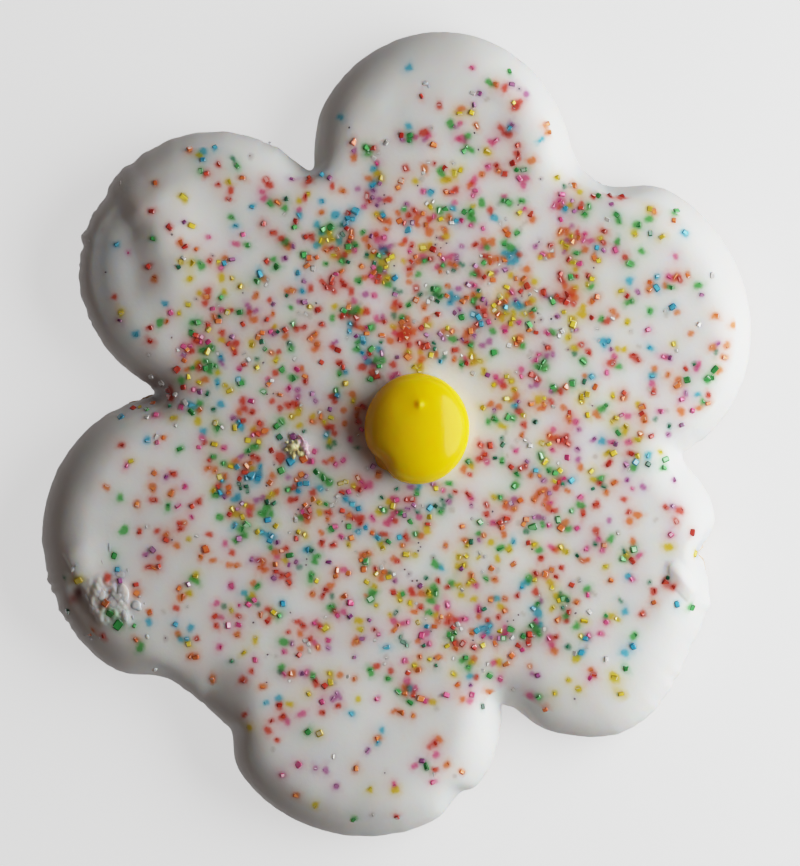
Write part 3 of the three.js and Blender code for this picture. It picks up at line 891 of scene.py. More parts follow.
# Crystals that lie where something else shows: x, y, kind, size and how far each stands out
KEPT_CRYSTALS = [
    (-39.4, -18.0, "yellow", 1.1, 0.1),
    (-36.0, -20.9, "orange", 0.85, 0.12),
    (-35.4, -22.1, "green", 1.0, 0.25),
    (-34.5, -23.5, "green", 1.2, 0.2),
    (-35.8, -17.7, "red", 0.8, -0.1),
    (-34.6, -16.7, "blue", 0.6, 0.12),
    (-34.3, -18.1, "purple", 0.65, 0.35),
    (-32.2, -19.6, "orange", 1.0, 0.1),
    (-32.3, -18.6, "red", 0.6, 0.2),
    (-40.9, -21.9, "bottle_green", 0.7, 0.15),
    (-41.4, -17.8, "bottle_green", 0.5, -0.1),
    (-38.0, -24.6, "orange", 0.85, -0.1),
    (-35.0, -15.0, "green", 0.8, 0.15),
    (-32.5, -23.7, "green", 0.5, 0.15),
    (-30.2, -14.3, "purple", 0.7, 0.2),
    (-36.4, -25.0, "red", 0.4, 0.05),
    (-13.1, -3.3, "blue", 1.1, 0.1),
    (-14.4, -2.8, "red", 1.2, -0.1),
    (-10.7, -3.3, "pink", 0.9, 0.05),
    (-11.5, -3.0, "orange", 0.9, 0.1),
    (-14.5, -0.3, "bottle_green", 0.8, 0.2),
    (-12.8, -0.2, "purple", 0.8, 0.35),
    (33.4, -18.4, "red", 0.9, 0.1),
    (34.3, -18.9, "red", 0.8, 0.05),
    (33.7, -17.7, "bottle_green", 0.5, 0.2),
    (34.8, -21.0, "blue", 0.8, 0.2),
    (31.9, -19.4, "red", 1.0, -0.05),
    (-28.3, 5.5, "red", 0.95, -0.1),
    (-28.2, 4.7, "red", 0.9, -0.1),
    (-30.4, 4.0, "orange", 0.7, -0.1),
    (-31.1, 3.3, "green", 0.66, 0.15),
    (-29.9, 2.5, "pink", 0.7, 0.1),
    (-32.0, 3.5, "yellow", 0.7, -0.1),
    (-32.8, 3.3, "red", 0.9, -0.1),
    (-34.2, 2.2, "blue", 1.1, 0.05),
    (-25.3, 3.6, "blue", 0.9, 0.0),
    (-25.4, 2.8, "green", 0.9, 0.1),
    (-26.7, 3.4, "pink", 0.75, 0.1),
    (-28.2, 3.6, "bottle_green", 0.5, 0.1),
    (-27.2, 8.1, "red", 1.0, 0.2),
    (-26.4, 5.9, "red", 0.7, 0.1),
    (-26.7, 6.7, "green", 0.7, -0.1),
    (-25.8, 7.2, "yellow", 0.7, 0.1),
    (-29.3, 6.4, "clear", 0.8, 0.15),
    (-30.6, 7.1, "clear", 0.6, 0.15),
    (-27.5, 5.0, "clear", 0.55, 0.12),
    (-26.2, 4.0, "clear", 0.7, 0.2),
    (-31.0, 2.2, "clear", 0.6, 0.12),
    (-24.3, 32.7, "green", 0.7, 0.1),
    (-29.9, 31.2, "orange", 0.66, 0.1),
    (-26.4, 29.4, "yellow", 1.15, 0.0),
    (-30.3, 27.7, "red", 0.72, 0.12),
    (-28.1, 25.7, "red", 0.85, 0.08),
    (-26.3, 26.3, "purple", 0.6, 0.1),
    (-25.4, 25.9, "yellow", 0.85, 0.08),
    (-30.1, 24.3, "green", 0.66, 0.05),
    (-27.8, 24.8, "speck", 0.24, 0.03),
    (-26.8, 23.8, "orange", 0.85, 0.05),
    (-26.2, 23.3, "red", 0.7, 0.1),
    (-24.8, 23.0, "orange", 0.7, 0.0),
    (-23.3, 24.5, "pink", 0.75, 0.05),
    (-26.4, 21.9, "clear", 0.5, 0.15),
    (-26.7, 21.4, "yellow", 0.85, 0.05),
    (-27.0, 20.8, "bottle_green", 0.6, 0.15),
    (-25.4, 21.3, "yellow", 0.8, 0.08),
    (-24.2, 21.0, "green", 0.95, -0.1),
    (-30.7, 20.9, "red", 0.72, 0.08),
    (-34.7, 23.6, "blue", 0.7, 0.05),
    (-33.3, 22.6, "pink", 0.36, 0.03),
    (-36.1, 20.2, "speck", 0.22, 0.03),
    (-37.2, 25.7, "purple", 0.5, -0.1),
    (-30.0, 19.3, "orange", 0.75, 0.0),
]
kind_names = list(CRYSTAL_KINDS)
kept_x, kept_y, kept_names, kept_sizes, kept_proud = zip(*KEPT_CRYSTALS)
kept_flat = np.column_stack([kept_x, kept_y])
kept_kinds = [kind_names.index(name) for name in kept_names]
kept_away = np.array([np.hypot(*(kept_flat - place).T).min() for place in crystal_flat])
clear = (kept_away > KEPT_CLEARANCE) & [not in_own_patch(x, y) for x, y in crystal_flat]
crystal_flat = np.vstack([crystal_flat[clear], kept_flat])
crystal_kind = np.append(crystal_kind[clear], kept_kinds)
crystal_size = np.append(crystal_size[clear], kept_sizes)
crystal_proud = np.append(crystal_proud[clear], kept_proud)
crystal_stain = draw.uniform(*STAIN_VARIES, len(crystal_flat))
crystal_turn = draw.uniform(0, math.pi, len(crystal_flat))
crystal_shape = draw.uniform(SHAPE_LEAST, SHAPE_MOST, (len(crystal_flat), 3))

# The icing: white sugar icing poured over the biscuit, so that it ran down the sides and set as a
# smooth skin about a millimetre thick. A fold is pressed into it, and a patch has torn open.

FOLD = {"x": -33.9, "y": 27.5, "turn": -65.5}
TEAR = {"x": -35.9, "y": -20.5, "length": 3.9, "width": 3.1, "turn": -62}
TORN_EDGE = {"x": -38.1, "y": -21.0, "turn": -60.4}
MOUND = {"x": -40.7, "y": -16.2, "turn": -63}
FLAKE = {"x": 34.1, "y": -16.7, "turn": -45, "height": 0.42, "left": 33.7}

# Soft rises and dents of the icing's top: x, y, half sizes, turn and height
SOFT_MARKS = [
    (-39.6, -19.8, 1.0, 0.7, -50, -0.35),
    (-31.2, 5.3, 1.8, 1.2, -20, -0.3),
    (-44.0, 20.0, 8.0, 8.5, -15, -0.75),
    (19.5, 38.5, 5.0, 6.0, 0, 0.4),
    (-34.6, -20.0, 1.3, 1.9, 12, 0.34),
    (-36.7, -19.9, 0.6, 1.2, 25, 0.2),
    (-37.7, -20.8, 0.5, 1.0, 30, 0.2),
    (-37.2, -22.1, 0.45, 0.8, 35, 0.15),
    (-33.5, -22.6, 0.5, 1.1, 15, 0.2),
    (-32.3, -21.1, 0.75, 0.75, 0, 0.22),
    (33.0, -17.6, 1.1, 1.8, 0, -0.12),
    (37.4, -15.2, 2.4, 1.1, 100, -0.2),
    (36.3, -13.4, 1.2, 0.5, 60, 0.1),
    (13.4, 42.0, 2.0, 1.2, -30, 0.16),
    (-24.5, 30.5, 4.0, 2.5, 20, -0.08),
    (-37.3, 29.6, 1.8, 1.2, 60, 0.25),
    (-40.3, 24.4, 1.2, 0.7, 75, 0.2),
]


def fold_height(x, y):
    """A crease: the petal sinks away to its left, and stands up from it to a mound on its right."""
    along, across = turned(x, y, FOLD)
    away = across - 0.5 * smoothstep(along, 0.0, 2.5) + 0.8 * smoothstep(along, 5.5, 9.0)
    upper = 1 - smoothstep(along, 3.5, 7.5)
    left, right = 2.3, 2.4 + 0.3 * upper
    step = smoothstep((away + left) / (left + right), 0, 1)
    step = step * bell(np.maximum(away - right, 0), 5.0) - 0.25 * smoothstep(-x, 26.0, 32.0)
    height = (0.5 + 0.9 * upper) * between(along, -2.5, 1.0, 9.0, 13.0)
    below = FOLD["y"] - y
    sunk = smoothstep(-x - 1.8 * (1 - smoothstep(below, 3.5, 6.5)), 27.0, 36.5)
    sunk = 0.6 * sunk - 0.25 * smoothstep(-x, 19.0, 27.0)
    sunk = sunk * between(below, 0.0, 4.0, 9.0, 14.0)
    slope = 0.34 * between(along, -6.5, -3.5, -0.5, 2.0) * bell(away, np.where(away < 0, 1.8, 1.3))
    sharp = between(along, -1.4, 0.2, 2.0, 4.0)
    crease = 0.26 * sharp * np.exp(-(np.abs((away + 0.45) / np.where(away < -0.45, 1.5, 0.9)) ** 1.5))
    return height * step - sunk - slope - crease


def flake_height(x, y):
    """A flake of icing bent up along a ridge: it drops off at its left and lower sides."""
    along, across = turned(x, y, FLAKE)
    below = (0.25 + 0.75 * (1 + across / 1.4)) * smoothstep(across, -1.5, -1.3)
    above = 1 - smoothstep(across, 0, 1.7)
    in_from_left = x - FLAKE["left"]
    ends = smoothstep(in_from_left, -0.1, 0.16) * (0.45 + 0.55 * smoothstep(in_from_left, 0, 2))
    ends = ends * between(along, -1.1, -0.3, 4.1, 4.5)
    return FLAKE["height"] * np.where(across < 0, below, above) * ends


def tear_height(x, y):
    """A ragged patch beside a torn edge, the hollow below that edge, and a mound that overhangs it."""
    along, across = turned(x, y, TEAR)
    inside = 1 - smoothstep(np.hypot(along / TEAR["length"], across / TEAR["width"]), 0.55, 1.05)
    places = np.column_stack([x, y])
    ragged = 0.08 * waves(places, 2.0, seed=41) + 0.06 * waves(places, 0.9, seed=42) + 0.2
    along, across = turned(x, y, TORN_EDGE)
    away = across + 0.12 * waves(places, 1.5, seed=43)
    below = between(along, -3.4, -2.2, 1.6, 3.6) * (1 - smoothstep(away, -0.22, 0.12))
    hollow = below * bell(np.maximum(-away - 0.3, 0), 1.7) * (0.36 + 0.22 * bell(along, 1.0, -1.3))
    along, across = turned(x, y, MOUND)
    mound = smoothstep(across, -0.1, 0.4) * bell(across, 3.4, 0.4) * np.exp(-((along / 2.1) ** 4))
    return inside * ragged * (1 - below) - hollow + 0.42 * mound


# The icing is never thinner than about a quarter of itself, and its relief begins a little way in
DEEPEST = 0.72
RELIEF_START = (0.4, 3)


def relief(x, y):
    """Every rise and dent of the icing's top, added up."""
    places = np.column_stack([x, y])
    rise = 0.045 * waves(places, 13, seed=51) + 0.012 * waves(places, 4.5, seed=52)
    for mark_x, mark_y, length, width, turn, height in SOFT_MARKS:
        along, across = turned(x, y, {"x": mark_x, "y": mark_y, "turn": turn})
        rise = rise + height * bell(along, length) * bell(across, width)
    rise = rise + fold_height(x, y) + tear_height(x, y) + flake_height(x, y)
    return np.where(rise < 0, DEEPEST * np.tanh(rise / DEEPEST), rise)


def seat_height(x, y):
    """The icing sinks into a shallow seat under the drop, with a low lip where the drop presses."""
    away = oval_distance(x, y, DROP)
    return 0.06 * bell(away, 0.06, 0.97) - DROP["seat"] * (1 - smoothstep(away, 0.8, 0.93))


def icing_top(flat):
    """Points of the icing's top, from places on the round petals."""
    inset, nearest = nearest_edge(flat)
    fading = (1 - smoothstep(inset, 0, SHOULDER_WIDTH)) ** 2
    grain = EDGE.ragged[nearest] * np.exp(-inset / RAGGED_DEPTH)
    move = grain - EDGE.retreat[nearest] * fading
    places = flat + EDGE.swell[nearest] * fading[:, None] + EDGE.normal[nearest] * move[:, None]
    height = smooth_height(flat, inset) + smoothstep(inset, *RELIEF_START) * relief(*flat.T)
    height += seat_height(*flat.T)
    return np.column_stack([places, height])


def sparse(candidates):
    """Keeps the candidates in turn that lie their own distance clear of those kept before."""
    cells = Cells(0.5)
    kept = []
    for places, clear in candidates:
        for x, y in places.tolist():
            if all((a - x) ** 2 + (b - y) ** 2 > clear * clear for a, b in cells.near(x, y)):
                kept.append((x, y))
                cells.add(x, y)
    return np.array(kept)


def rings_round(centres, sizes, scale, count):
    """Places round each crystal, a share of its size from its middle."""
    turn = 2 * math.pi * (np.arange(count)[None, :] + 0.37 * np.arange(len(centres))[:, None]) / count
    x = centres[:, 0, None] + scale * sizes[:, None] * np.cos(turn)
    y = centres[:, 1, None] + scale * sizes[:, None] * np.sin(turn)
    return np.column_stack([x.ravel(), y.ravel()])


ICING_STEPS = 860
NET_MARGIN = 2.0
NET_SPACING = 0.5

# Rings of the net round each crystal: a share of its size, and how many places
CRYSTAL_RINGS = ((0.26, 5), (0.45, 8), (0.64, 10), (0.95, 10))
RING_CLEARANCE = 0.17

# Small areas with a finer net: x, y, reach and spacing
FINE_AREAS = [
    (-37.6, -19.6, 5.8, 0.16),
    (-33.3, 26.2, 2.6, 0.16),
    (-32.6, 26.0, 7.0, 0.3),
    (36.2, -18.2, 3.2, 0.15),
    (-29.9, 4.8, 2.0, 0.17),
]


def net_near(x, y, reach, spacing, seed):
    """Places in a loose net over a small round patch."""
    draw = np.random.RandomState(seed)
    marks = np.arange(-reach, reach, spacing)
    net = np.stack(np.meshgrid(marks, marks), axis=-1).reshape(-1, 2)
    net += draw.uniform(-NET_JITTER, NET_JITTER, net.shape) * spacing
    return net[np.hypot(net[:, 0], net[:, 1]) < reach] + [x, y]


net_places = [(inside_margin(crystal_flat, NET_MARGIN + 0.3), 0.1)]
for scale, count in CRYSTAL_RINGS:
    ring = rings_round(crystal_flat, crystal_size, scale, count)
    net_places.append((inside_margin(ring, NET_MARGIN + 0.2), RING_CLEARANCE))
for area_x, area_y, reach, spacing in FINE_AREAS:
    area_net = net_near(area_x, area_y, reach, spacing, seed=13)
    net_places.append((inside_margin(area_net, NET_MARGIN + 0.2), spacing * 0.7))
net_places.append((scattered_net(NET_SPACING, NET_MARGIN + 0.35, seed=14), NET_SPACING * 0.62))
net_flat = sparse(net_places)

round_icing = Outline(evenly_round(ICING_STEPS))
lower_rim = rim_height(round_icing) + 0.08 * waves(round_icing.round, 2.2, seed=53)


def icing_ring(inset, height, gap=0.0, ragged=1.0):
    """A ring of the icing with its true edge; flat_ring is the same ring on the round petals."""
    return with_height(round_icing.inset(inset, gap, ragged), height)


def flat_ring(inset):
    return round_icing.round - round_icing.normal * inset


def side_height(inset):
    """Heights of a ring on the icing's shoulder."""
    flat = flat_ring(inset)
    rise = shoulder(inset, SHOULDER_WIDTH, SHOULDER_RISE) + crown(inset)
    swayed = smoothstep(inset, 0, SHOULDER_WIDTH) * sway(*flat.T)
    return WAIST_HEIGHT + rise + swayed + smoothstep(inset, *RELIEF_START) * relief(*flat.T)


TOP_STEPS = 15
SKIRT_STEPS = 6

# Rings round the icing's lower lip: how far in, and how far over the rim
LOWER_LIP = ((0.13, 0.28), (0.24, 0.1), (0.42, 0.0), (0.75, 0.03))

steepest = math.asin(1 - NET_MARGIN / SHOULDER_WIDTH)
outer_rings = [icing_top(flat_ring(NET_MARGIN))]
for turn in np.linspace(steepest, math.pi / 2, TOP_STEPS + 1)[1:]:
    inset = SHOULDER_WIDTH * (1 - math.sin(turn))
    outer_rings.append(icing_ring(inset, side_height(inset)))
for part in np.arange(1, SKIRT_STEPS + 1) / SKIRT_STEPS:
    height = WAIST_HEIGHT * (1 - part) + (lower_rim + 0.5) * part
    outer_rings.append(icing_ring(0.08 * part**2, height))
for inset, rise in LOWER_LIP:
    outer_rings.append(icing_ring(inset, lower_rim + rise))
inner_rings = [icing_ring(ICING_THICKNESS, lower_rim + 0.2, LAYER_GAP, 0)]
for inset in BODY_INSETS:
    height = body_height(inset) + LAYER_GAP
    inner_rings.append(icing_ring(ICING_THICKNESS + inset, height, LAYER_GAP, 0))
under_ring = round_icing.inset(SHOULDER_WIDTH, ragged=0)
under_gap = LAYER_GAP - ICING_THICKNESS
inner_rings.append(with_height(under_ring, smooth_height(under_ring, SHOULDER_WIDTH) + under_gap))

icing_skin = Skin()
icing_rings = icing_skin.band(outer_rings + inner_rings)
rings_count = icing_skin.count
net_points = icing_top(net_flat)
icing_skin.cap(icing_rings[0], flat_ring(NET_MARGIN), net_flat, net_points)
lining_flat = scattered_net(2.2, CAP_MARGIN, seed=15)
lining_level = smooth_height(lining_flat, nearest_edge(lining_flat)[0]) + under_gap
lining = with_height(lining_flat, lining_level)
icing_skin.cap(icing_rings[-1], under_ring, lining_flat, lining, facing_up=False)

STAIN_REACH = 2.4
STAIN_LOBES = ((2, 0.16), (3, 0.12))
SMALLEST_LOBE = 0.03
STAIN_FRINGE = {"share": 0.58, "width": 0.27}
# The wider pool, partly dye and partly painted coloured light, lies shifted to the left, on the shaded side
DYE_AND_PAINTED_LIGHT_POOL = {"share": 0.24, "width": 1.3, "shift": 0.15}
DROWNED_BELOW = 0.12
MOST_STAINED = 0.97


def stained(places):
    """The colour that dye and painted coloured light have given the icing: each crystal takes its own light
    out near it.

    Round a crystal is a fringe of dye, as wide as its own form with a few lobes, and a wider pool, shifted
    to the left: partly dye and partly painted coloured light, as if light through the crystal fell on its
    shaded side.
    Where the crystal has drowned in the icing, its core shows through as well.
    """
    tree = kdtree.KDTree(len(places))
    for number, (x, y) in enumerate(places.tolist()):
        tree.insert((x, y, 0), number)
    tree.balance()
    kinds = list(CRYSTAL_KINDS.values())
    light = np.zeros((len(places), 3))
    draw = np.random.RandomState(CRYSTALS["seed"] + 3)
    for number, (x, y) in enumerate(crystal_flat.tolist()):
        kind = kinds[crystal_kind[number]]
        drowned = min(max(1.2 - crystal_proud[number] / DROWNED_BELOW, 0), 1)
        near = np.array([hit[1] for hit in tree.find_range((x, y, 0), STAIN_REACH)], dtype=int)
        away = places[near] - [x, y]
        turn = crystal_turn[number]
        along = away @ [math.cos(turn), math.sin(turn)]
        across = away @ [-math.sin(turn), math.cos(turn)]
        half_along, half_across = crystal_shape[number, :2] * crystal_size[number] / 2
        bearing = np.arctan2(across, along)
        lobes = 0
        for count, largest in STAIN_LOBES:
            lobe = draw.uniform(SMALLEST_LOBE, largest)
            lobes = lobes + lobe * np.sin(count * bearing + draw.uniform(0, 6.3))
        reach = (np.abs(along / half_along) ** 3 + np.abs(across / half_across) ** 3) ** (1 / 3)
        beyond = (reach * (1 + lobes) - 1) * math.sqrt(half_along * half_across)
        fringe = STAIN_FRINGE["share"] * bell(np.maximum(beyond, 0), STAIN_FRINGE["width"])
        # Painted coloured light: the pool's middle lies a little left of the crystal
        from_pool = np.hypot(away[:, 0] + DYE_AND_PAINTED_LIGHT_POOL["shift"], away[:, 1])
        dye_and_light_pool = DYE_AND_PAINTED_LIGHT_POOL["share"] * bell(from_pool, DYE_AND_PAINTED_LIGHT_POOL["width"])
        share = kind["strength"] * crystal_stain[number] * (fringe + dye_and_light_pool)
        core = 0.62 * (1 - smoothstep(beyond, -0.2, 0.17)) + 0.22 * bell(beyond, 0.13, -0.15)
        share += drowned * core
        kept = 1 - np.clip(share, 0, MOST_STAINED)[:, None] * (1 - np.array(kind["stain"][:3]))
        light[near] += np.log(np.maximum(kept, 1e-3))
    return np.exp(light)


# Painted shade on the icing, darkening it where shade falls: in the hole at the left notch, in the torn
# hollow, between the torn lumps, and as a painted shadow left of the drop. Some red dye runs in the hollow,
# and the drop's painted shadow is tinted yellow-brown: x, y, reach, share and colour
PAINTED_SHADE_AND_DYE = [
    (-29.8, 4.85, 0.72, 0.88, shade(78, 54, 48)),
    (-30.1, 5.5, 1.7, 0.62, shade(150, 72, 66)),
    (-31.2, 6.2, 3.2, 0.4, shade(150, 116, 104)),
    (-39.4, -19.6, 0.75, 0.85, shade(142, 52, 52)),
    (-40.2, -20.4, 0.8, 0.75, shade(186, 84, 72)),
    (-33.0, -20.4, 1.3, 0.3, shade(200, 150, 130)),
    (-39.0, -22.4, 2.2, 0.35, shade(160, 128, 104)),
    (-4.2, 0.3, 1.5, 0.45, shade(196, 122, 74)),
    (-3.6, -2.3, 1.5, 0.45, shade(196, 122, 74)),
    (-3.6, 2.9, 1.5, 0.35, shade(206, 140, 84)),
]

icing_dye_and_painted_shade = np.ones((icing_skin.count, 3))
icing_dye_and_painted_shade[rings_count:rings_count + len(net_flat)] = stained(net_flat)
icing_flat = np.vstack(icing_skin.points)[:, :2]
# Painted shade: each place darkens the icing's colour towards its shaded tint
for x, y, reach, most, shade_tint in PAINTED_SHADE_AND_DYE:
    share = most * bell(np.hypot(icing_flat[:, 0] - x, icing_flat[:, 1] - y), reach)
    icing_dye_and_painted_shade *= 1 - share[:, None] * (1 - np.array(shade_tint[:3]))

# How light spreads inside set icing
SET_SUGAR = {
    "Subsurface_Weight": 0.8,
    "Subsurface_Radius": (1.2, 0.85, 0.6),
    "Subsurface_Scale": 0.001,
    "IOR": 1.45,
}

icing_white = Finish("set_white_icing")
cloud = icing_white.noise(70, detail=3)
white = icing_white.ramp(cloud, (0.3, (0.80, 0.785, 0.765, 1)), (0.7, (0.86, 0.85, 0.835, 1)))
# The kept "dye" colours hold the crystals' dye, and also painted shade and painted coloured light
dyed_and_shaded = icing_white.mix(1.0, white, icing_white.kept("dye", output=0), "MULTIPLY")
fine_grain = icing_white.noise(2600, detail=2)
icing_white.surface(
    Base_Color=dyed_and_shaded,
    Roughness=0.34 + 0.16 * cloud,
    Normal=icing_white.bump(fine_grain + 2.0 * icing_white.noise(500), 0.000012),
    **SET_SUGAR,
)
icing = icing_skin.piece("icing_coat", icing_white)
paint(icing, "dye", icing_dye_and_painted_shade)
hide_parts("icing")

# The crystals themselves: small blocks of sugar with rounded edges, one piece for each colour. The
# dye looks darker along a block's edges, and each has its own depth of colour. A few facets carry
# painted glints and painted dark reflections.

BLOCK_MARKS = (-1.0, -0.62, 0.62, 1.0)
BLOCK_ROUNDNESS = 5.0
BLOCK_ROUGHNESS = 0.035
BLOCK_TIP = 0.22
SUNK_SHARE = 0.46


def block_net():
    """Points and faces of a block with three faces a side, rounded at its edges."""
    numbers, points = {}, []
    for i, x in enumerate(BLOCK_MARKS):
        for j, y in enumerate(BLOCK_MARKS):
            for k, z in enumerate(BLOCK_MARKS):
                if {i, j, k} & {0, 3}:
                    numbers[i, j, k] = len(points)
                    points.append((x, y, z))
    faces = []
    for axis in range(3):
        for side in (0, 3):
            for a in range(3):
                for b in range(3):
                    corners = []
                    for da, db in ((0, 0), (1, 0), (1, 1), (0, 1)):
                        place = [a + da, b + db]
                        place.insert(axis, side)
                        corners.append(numbers[tuple(place)])
                    outwards = (side == 3) == (axis != 1)
                    faces.append(corners if outwards else corners[::-1])
    points = np.array(points)
    faces_touched = (np.abs(points) > 0.99).sum(axis=1)
    norm = (np.abs(points) ** BLOCK_ROUNDNESS).sum(axis=1) ** (1 / BLOCK_ROUNDNESS)
    return points / norm[:, None], np.array(faces), np.where(faces_touched > 1, 1.0, 0.0)


def turn_about(axis, turn):
    """Rotation matrices about one axis, for many turns."""
    cos, sin = np.cos(turn), np.sin(turn)
    matrix = np.zeros((len(turn), 3, 3))
    first, second = [(1, 2), (2, 0), (0, 1)][axis]
    matrix[:, axis, axis] = 1
    matrix[:, first, first] = matrix[:, second, second] = cos
    matrix[:, second, first] = sin
    matrix[:, first, second] = -sin
    return matrix


def surface_slope(flat, step):
    """How steeply the icing's top rises along a step, from the heights on both sides."""
    ahead, behind = icing_top(flat + step), icing_top(flat - step)
    return (ahead[:, 2] - behind[:, 2]) / (2 * step.sum())


def surface_tilt(flat):
    """How the icing leans at some places, as matrices that lean a block the same way."""
    slope_x, slope_y = surface_slope(flat, np.array([0.5, 0])), surface_slope(flat, np.array([0, 0.5]))
    return turn_about(0, np.arctan(slope_y)) @ turn_about(1, -np.arctan(slope_x))


block_points, block_faces, block_edges = block_net()
draw = np.random.RandomState(CRYSTALS["seed"] + 2)
amount = len(crystal_flat)
spin = turn_about(2, crystal_turn)
tip = turn_about(0, draw.normal(0, BLOCK_TIP, amount)) @ turn_about(1, draw.normal(0, BLOCK_TIP, amount))
turned_blocks = surface_tilt(crystal_flat) @ spin @ tip
half_sizes = crystal_shape * crystal_size[:, None] / 2
middles = icing_top(crystal_flat)
middles[:, 2] += crystal_proud - SUNK_SHARE * crystal_size
dye_depth = draw.uniform(0, 1, amount)


def crystal_finish(name, kind):
    """Dyed sugar: deeper at the edges, with painted reflections: a few facets painted dark and a few painted
    with a pale glint.
    """
    finish = Finish(name)
    cloudy = finish.noise(2400, detail=2)
    body = finish.mix(finish.kept("tone"), kind["faces"], kind["deeper"])
    dye = finish.mix(finish.kept("edge") + (cloudy - 0.5) * 0.8, body, kind["edges"])
    facet = finish.kept("facet")
    # Painted reflections: random facets painted dark, and random facets painted pale as glints
    painted_dark_facet = finish.ramp(facet, (0.0, grey(0.8)), (0.3, grey(0.0)))
    painted_glint = finish.ramp(facet, (0.86, grey(0.0)), (0.98, grey(0.75)))
    pale = finish.mix(0.7, kind["faces"], grey(1.0))
    finish.surface(
        Base_Color=finish.mix(painted_glint, finish.mix(painted_dark_facet, dye, kind["edges"]), pale),
        Roughness=0.12 + 0.2 * cloudy,
        IOR=1.55,
        Coat_Weight=0.25,
        Coat_Roughness=0.05,
        Subsurface_Weight=0.5,
        Subsurface_Radius=(0.6, 0.6, 0.6),
        Subsurface_Scale=0.00025,
    )
    return finish


for number, (kind_name, kind) in enumerate(CRYSTAL_KINDS.items()):
    own = np.flatnonzero(crystal_kind == number)
    roughness = draw.normal(0, BLOCK_ROUGHNESS, (len(own), len(block_points), 3))
    blocks = (block_points[None] + roughness) * half_sizes[own][:, None, :]
    blocks = np.einsum("nij,nkj->nki", turned_blocks[own], blocks) + middles[own][:, None, :]
    faces = block_faces[None] + (np.arange(len(own)) * len(block_points))[:, None, None]
    finish = crystal_finish("sugar_" + kind_name, kind)
    name = "crystals_" + kind_name
    crystals = make_piece(name, blocks.reshape(-1, 3), faces.reshape(-1, 4).tolist(), finish, smooth=False)
    paint(crystals, "edge", np.tile(block_edges, len(own)))
    paint(crystals, "tone", np.repeat(dye_depth[own], len(block_points)))
    paint(crystals, "facet", draw.uniform(0, 1, len(own) * len(block_faces)), "FACE")

# Lumps of torn icing: where the tear pulled the icing off, it lies in soft glossy lumps with a
# pink tinge from the dye. They are made of balls that have grown into one another.


def grown_together(name, balls, grain, finish, softening=0, ruffled=1.0):
    """A closed skin round balls that run into one another: x, y, rise, three half sizes and turn."""
    shape = bmesh.new()
    for x, y, rise, size_x, size_y, size_z, turn in balls:
        level = icing_top(np.array([[x, y]]))[0, 2]
        place = Matrix.Translation((x, y, level + rise)) @ Matrix.Rotation(math.radians(turn), 4, "Z")
        place = place @ Matrix.Diagonal((size_x, size_y, size_z, 1))
        bmesh.ops.create_icosphere(shape, subdivisions=3, radius=1, matrix=place)
    raw = bpy.data.meshes.new(name + "_balls")
    shape.to_mesh(raw)
    shape.free()
    carrier = add_object(name + "_balls", raw)
    remesh = carrier.modifiers.new("grown", "REMESH")
    remesh.mode = "VOXEL"
    remesh.voxel_size = grain
    if softening:
        carrier.modifiers.new("softened", "SMOOTH").iterations = softening
    whole = carrier.evaluated_get(bpy.context.evaluated_depsgraph_get()).to_mesh()
    points = np.array([vertex.co for vertex in whole.vertices])
    outwards = np.array([vertex.normal for vertex in whole.vertices])
    faces = [tuple(face.vertices) for face in whole.polygons]
    bpy.data.objects.remove(carrier)
    bpy.data.meshes.remove(raw)
    ruffle = 0.4 * waves(points, 10 * grain, seed=61) + 0.22 * waves(points, 5 * grain, seed=62)
    return make_piece(name, points + outwards * (ruffled * grain * ruffle)[:, None], faces, finish)


# x, y, rise over the icing, three half sizes and turn of each ball
TORN_LUMPS = [
    (-38.3, -20.2, -0.1, 0.34, 0.8, 0.16, 18),
    (-37.6, -21.4, -0.1, 0.4, 0.9, 0.17, 34),
    (-36.6, -19.8, -0.1, 0.6, 0.9, 0.2, 10),
    (-33.9, -19.6, -0.12, 0.8, 1.2, 0.24, 12),
    (-34.9, -20.6, -0.12, 1.1, 0.9, 0.22, 20),
    (-33.7, -22.4, -0.1, 0.4, 0.9, 0.17, 18),
    (-32.3, -21.1, -0.08, 0.7, 0.62, 0.2, 15),
    (-31.9, -21.6, -0.08, 0.4, 0.34, 0.17, 0),
    (-31.2, -20.9, -0.02, 0.2, 0.24, 0.12, 0),
    (-32.7, -22.6, -0.02, 0.2, 0.42, 0.12, 5),
    (-34.2, -17.4, -0.1, 0.8, 0.6, 0.19, 0),
    (-33.35, -16.8, -0.03, 0.18, 0.42, 0.1, 14),
    (-36.5, -15.7, -0.03, 0.14, 0.48, 0.1, 18),
    (-35.6, -14.0, -0.04, 0.22, 0.75, 0.12, 4),
    (-40.1, -16.6, -0.04, 0.5, 0.3, 0.14, 60),
    (-39.7, -16.1, -0.04, 0.25, 0.34, 0.12, -10),
    (-31.9, -20.1, 0.0, 0.26, 0.16, 0.14, 30),
    (-38.8, -24.9, -0.03, 0.3, 0.2, 0.13, 10),
    (-37.9, -25.4, -0.03, 0.36, 0.2, 0.14, -10),
    (-36.9, -25.2, -0.03, 0.2, 0.2, 0.13, 0),
    (-34.4, 31.3, -0.03, 0.14, 0.45, 0.11, -12),
    (-38.1, 24.3, -0.03, 0.14, 0.45, 0.11, -40),
    (-30.9, -25.0, -0.03, 0.3, 0.45, 0.15, 20),
    (-30.0, -29.2, -0.03, 0.42, 0.26, 0.15, 30),
    (3.6, 43.6, -0.02, 0.5, 0.3, 0.17, 20),
    (4.0, 43.2, -0.03, 0.22, 0.3, 0.14, 0),
    (-15.8, 36.5, -0.02, 0.24, 0.2, 0.14, 0),
]
torn = Finish("torn_icing")
blush = torn.noise(420, detail=3)
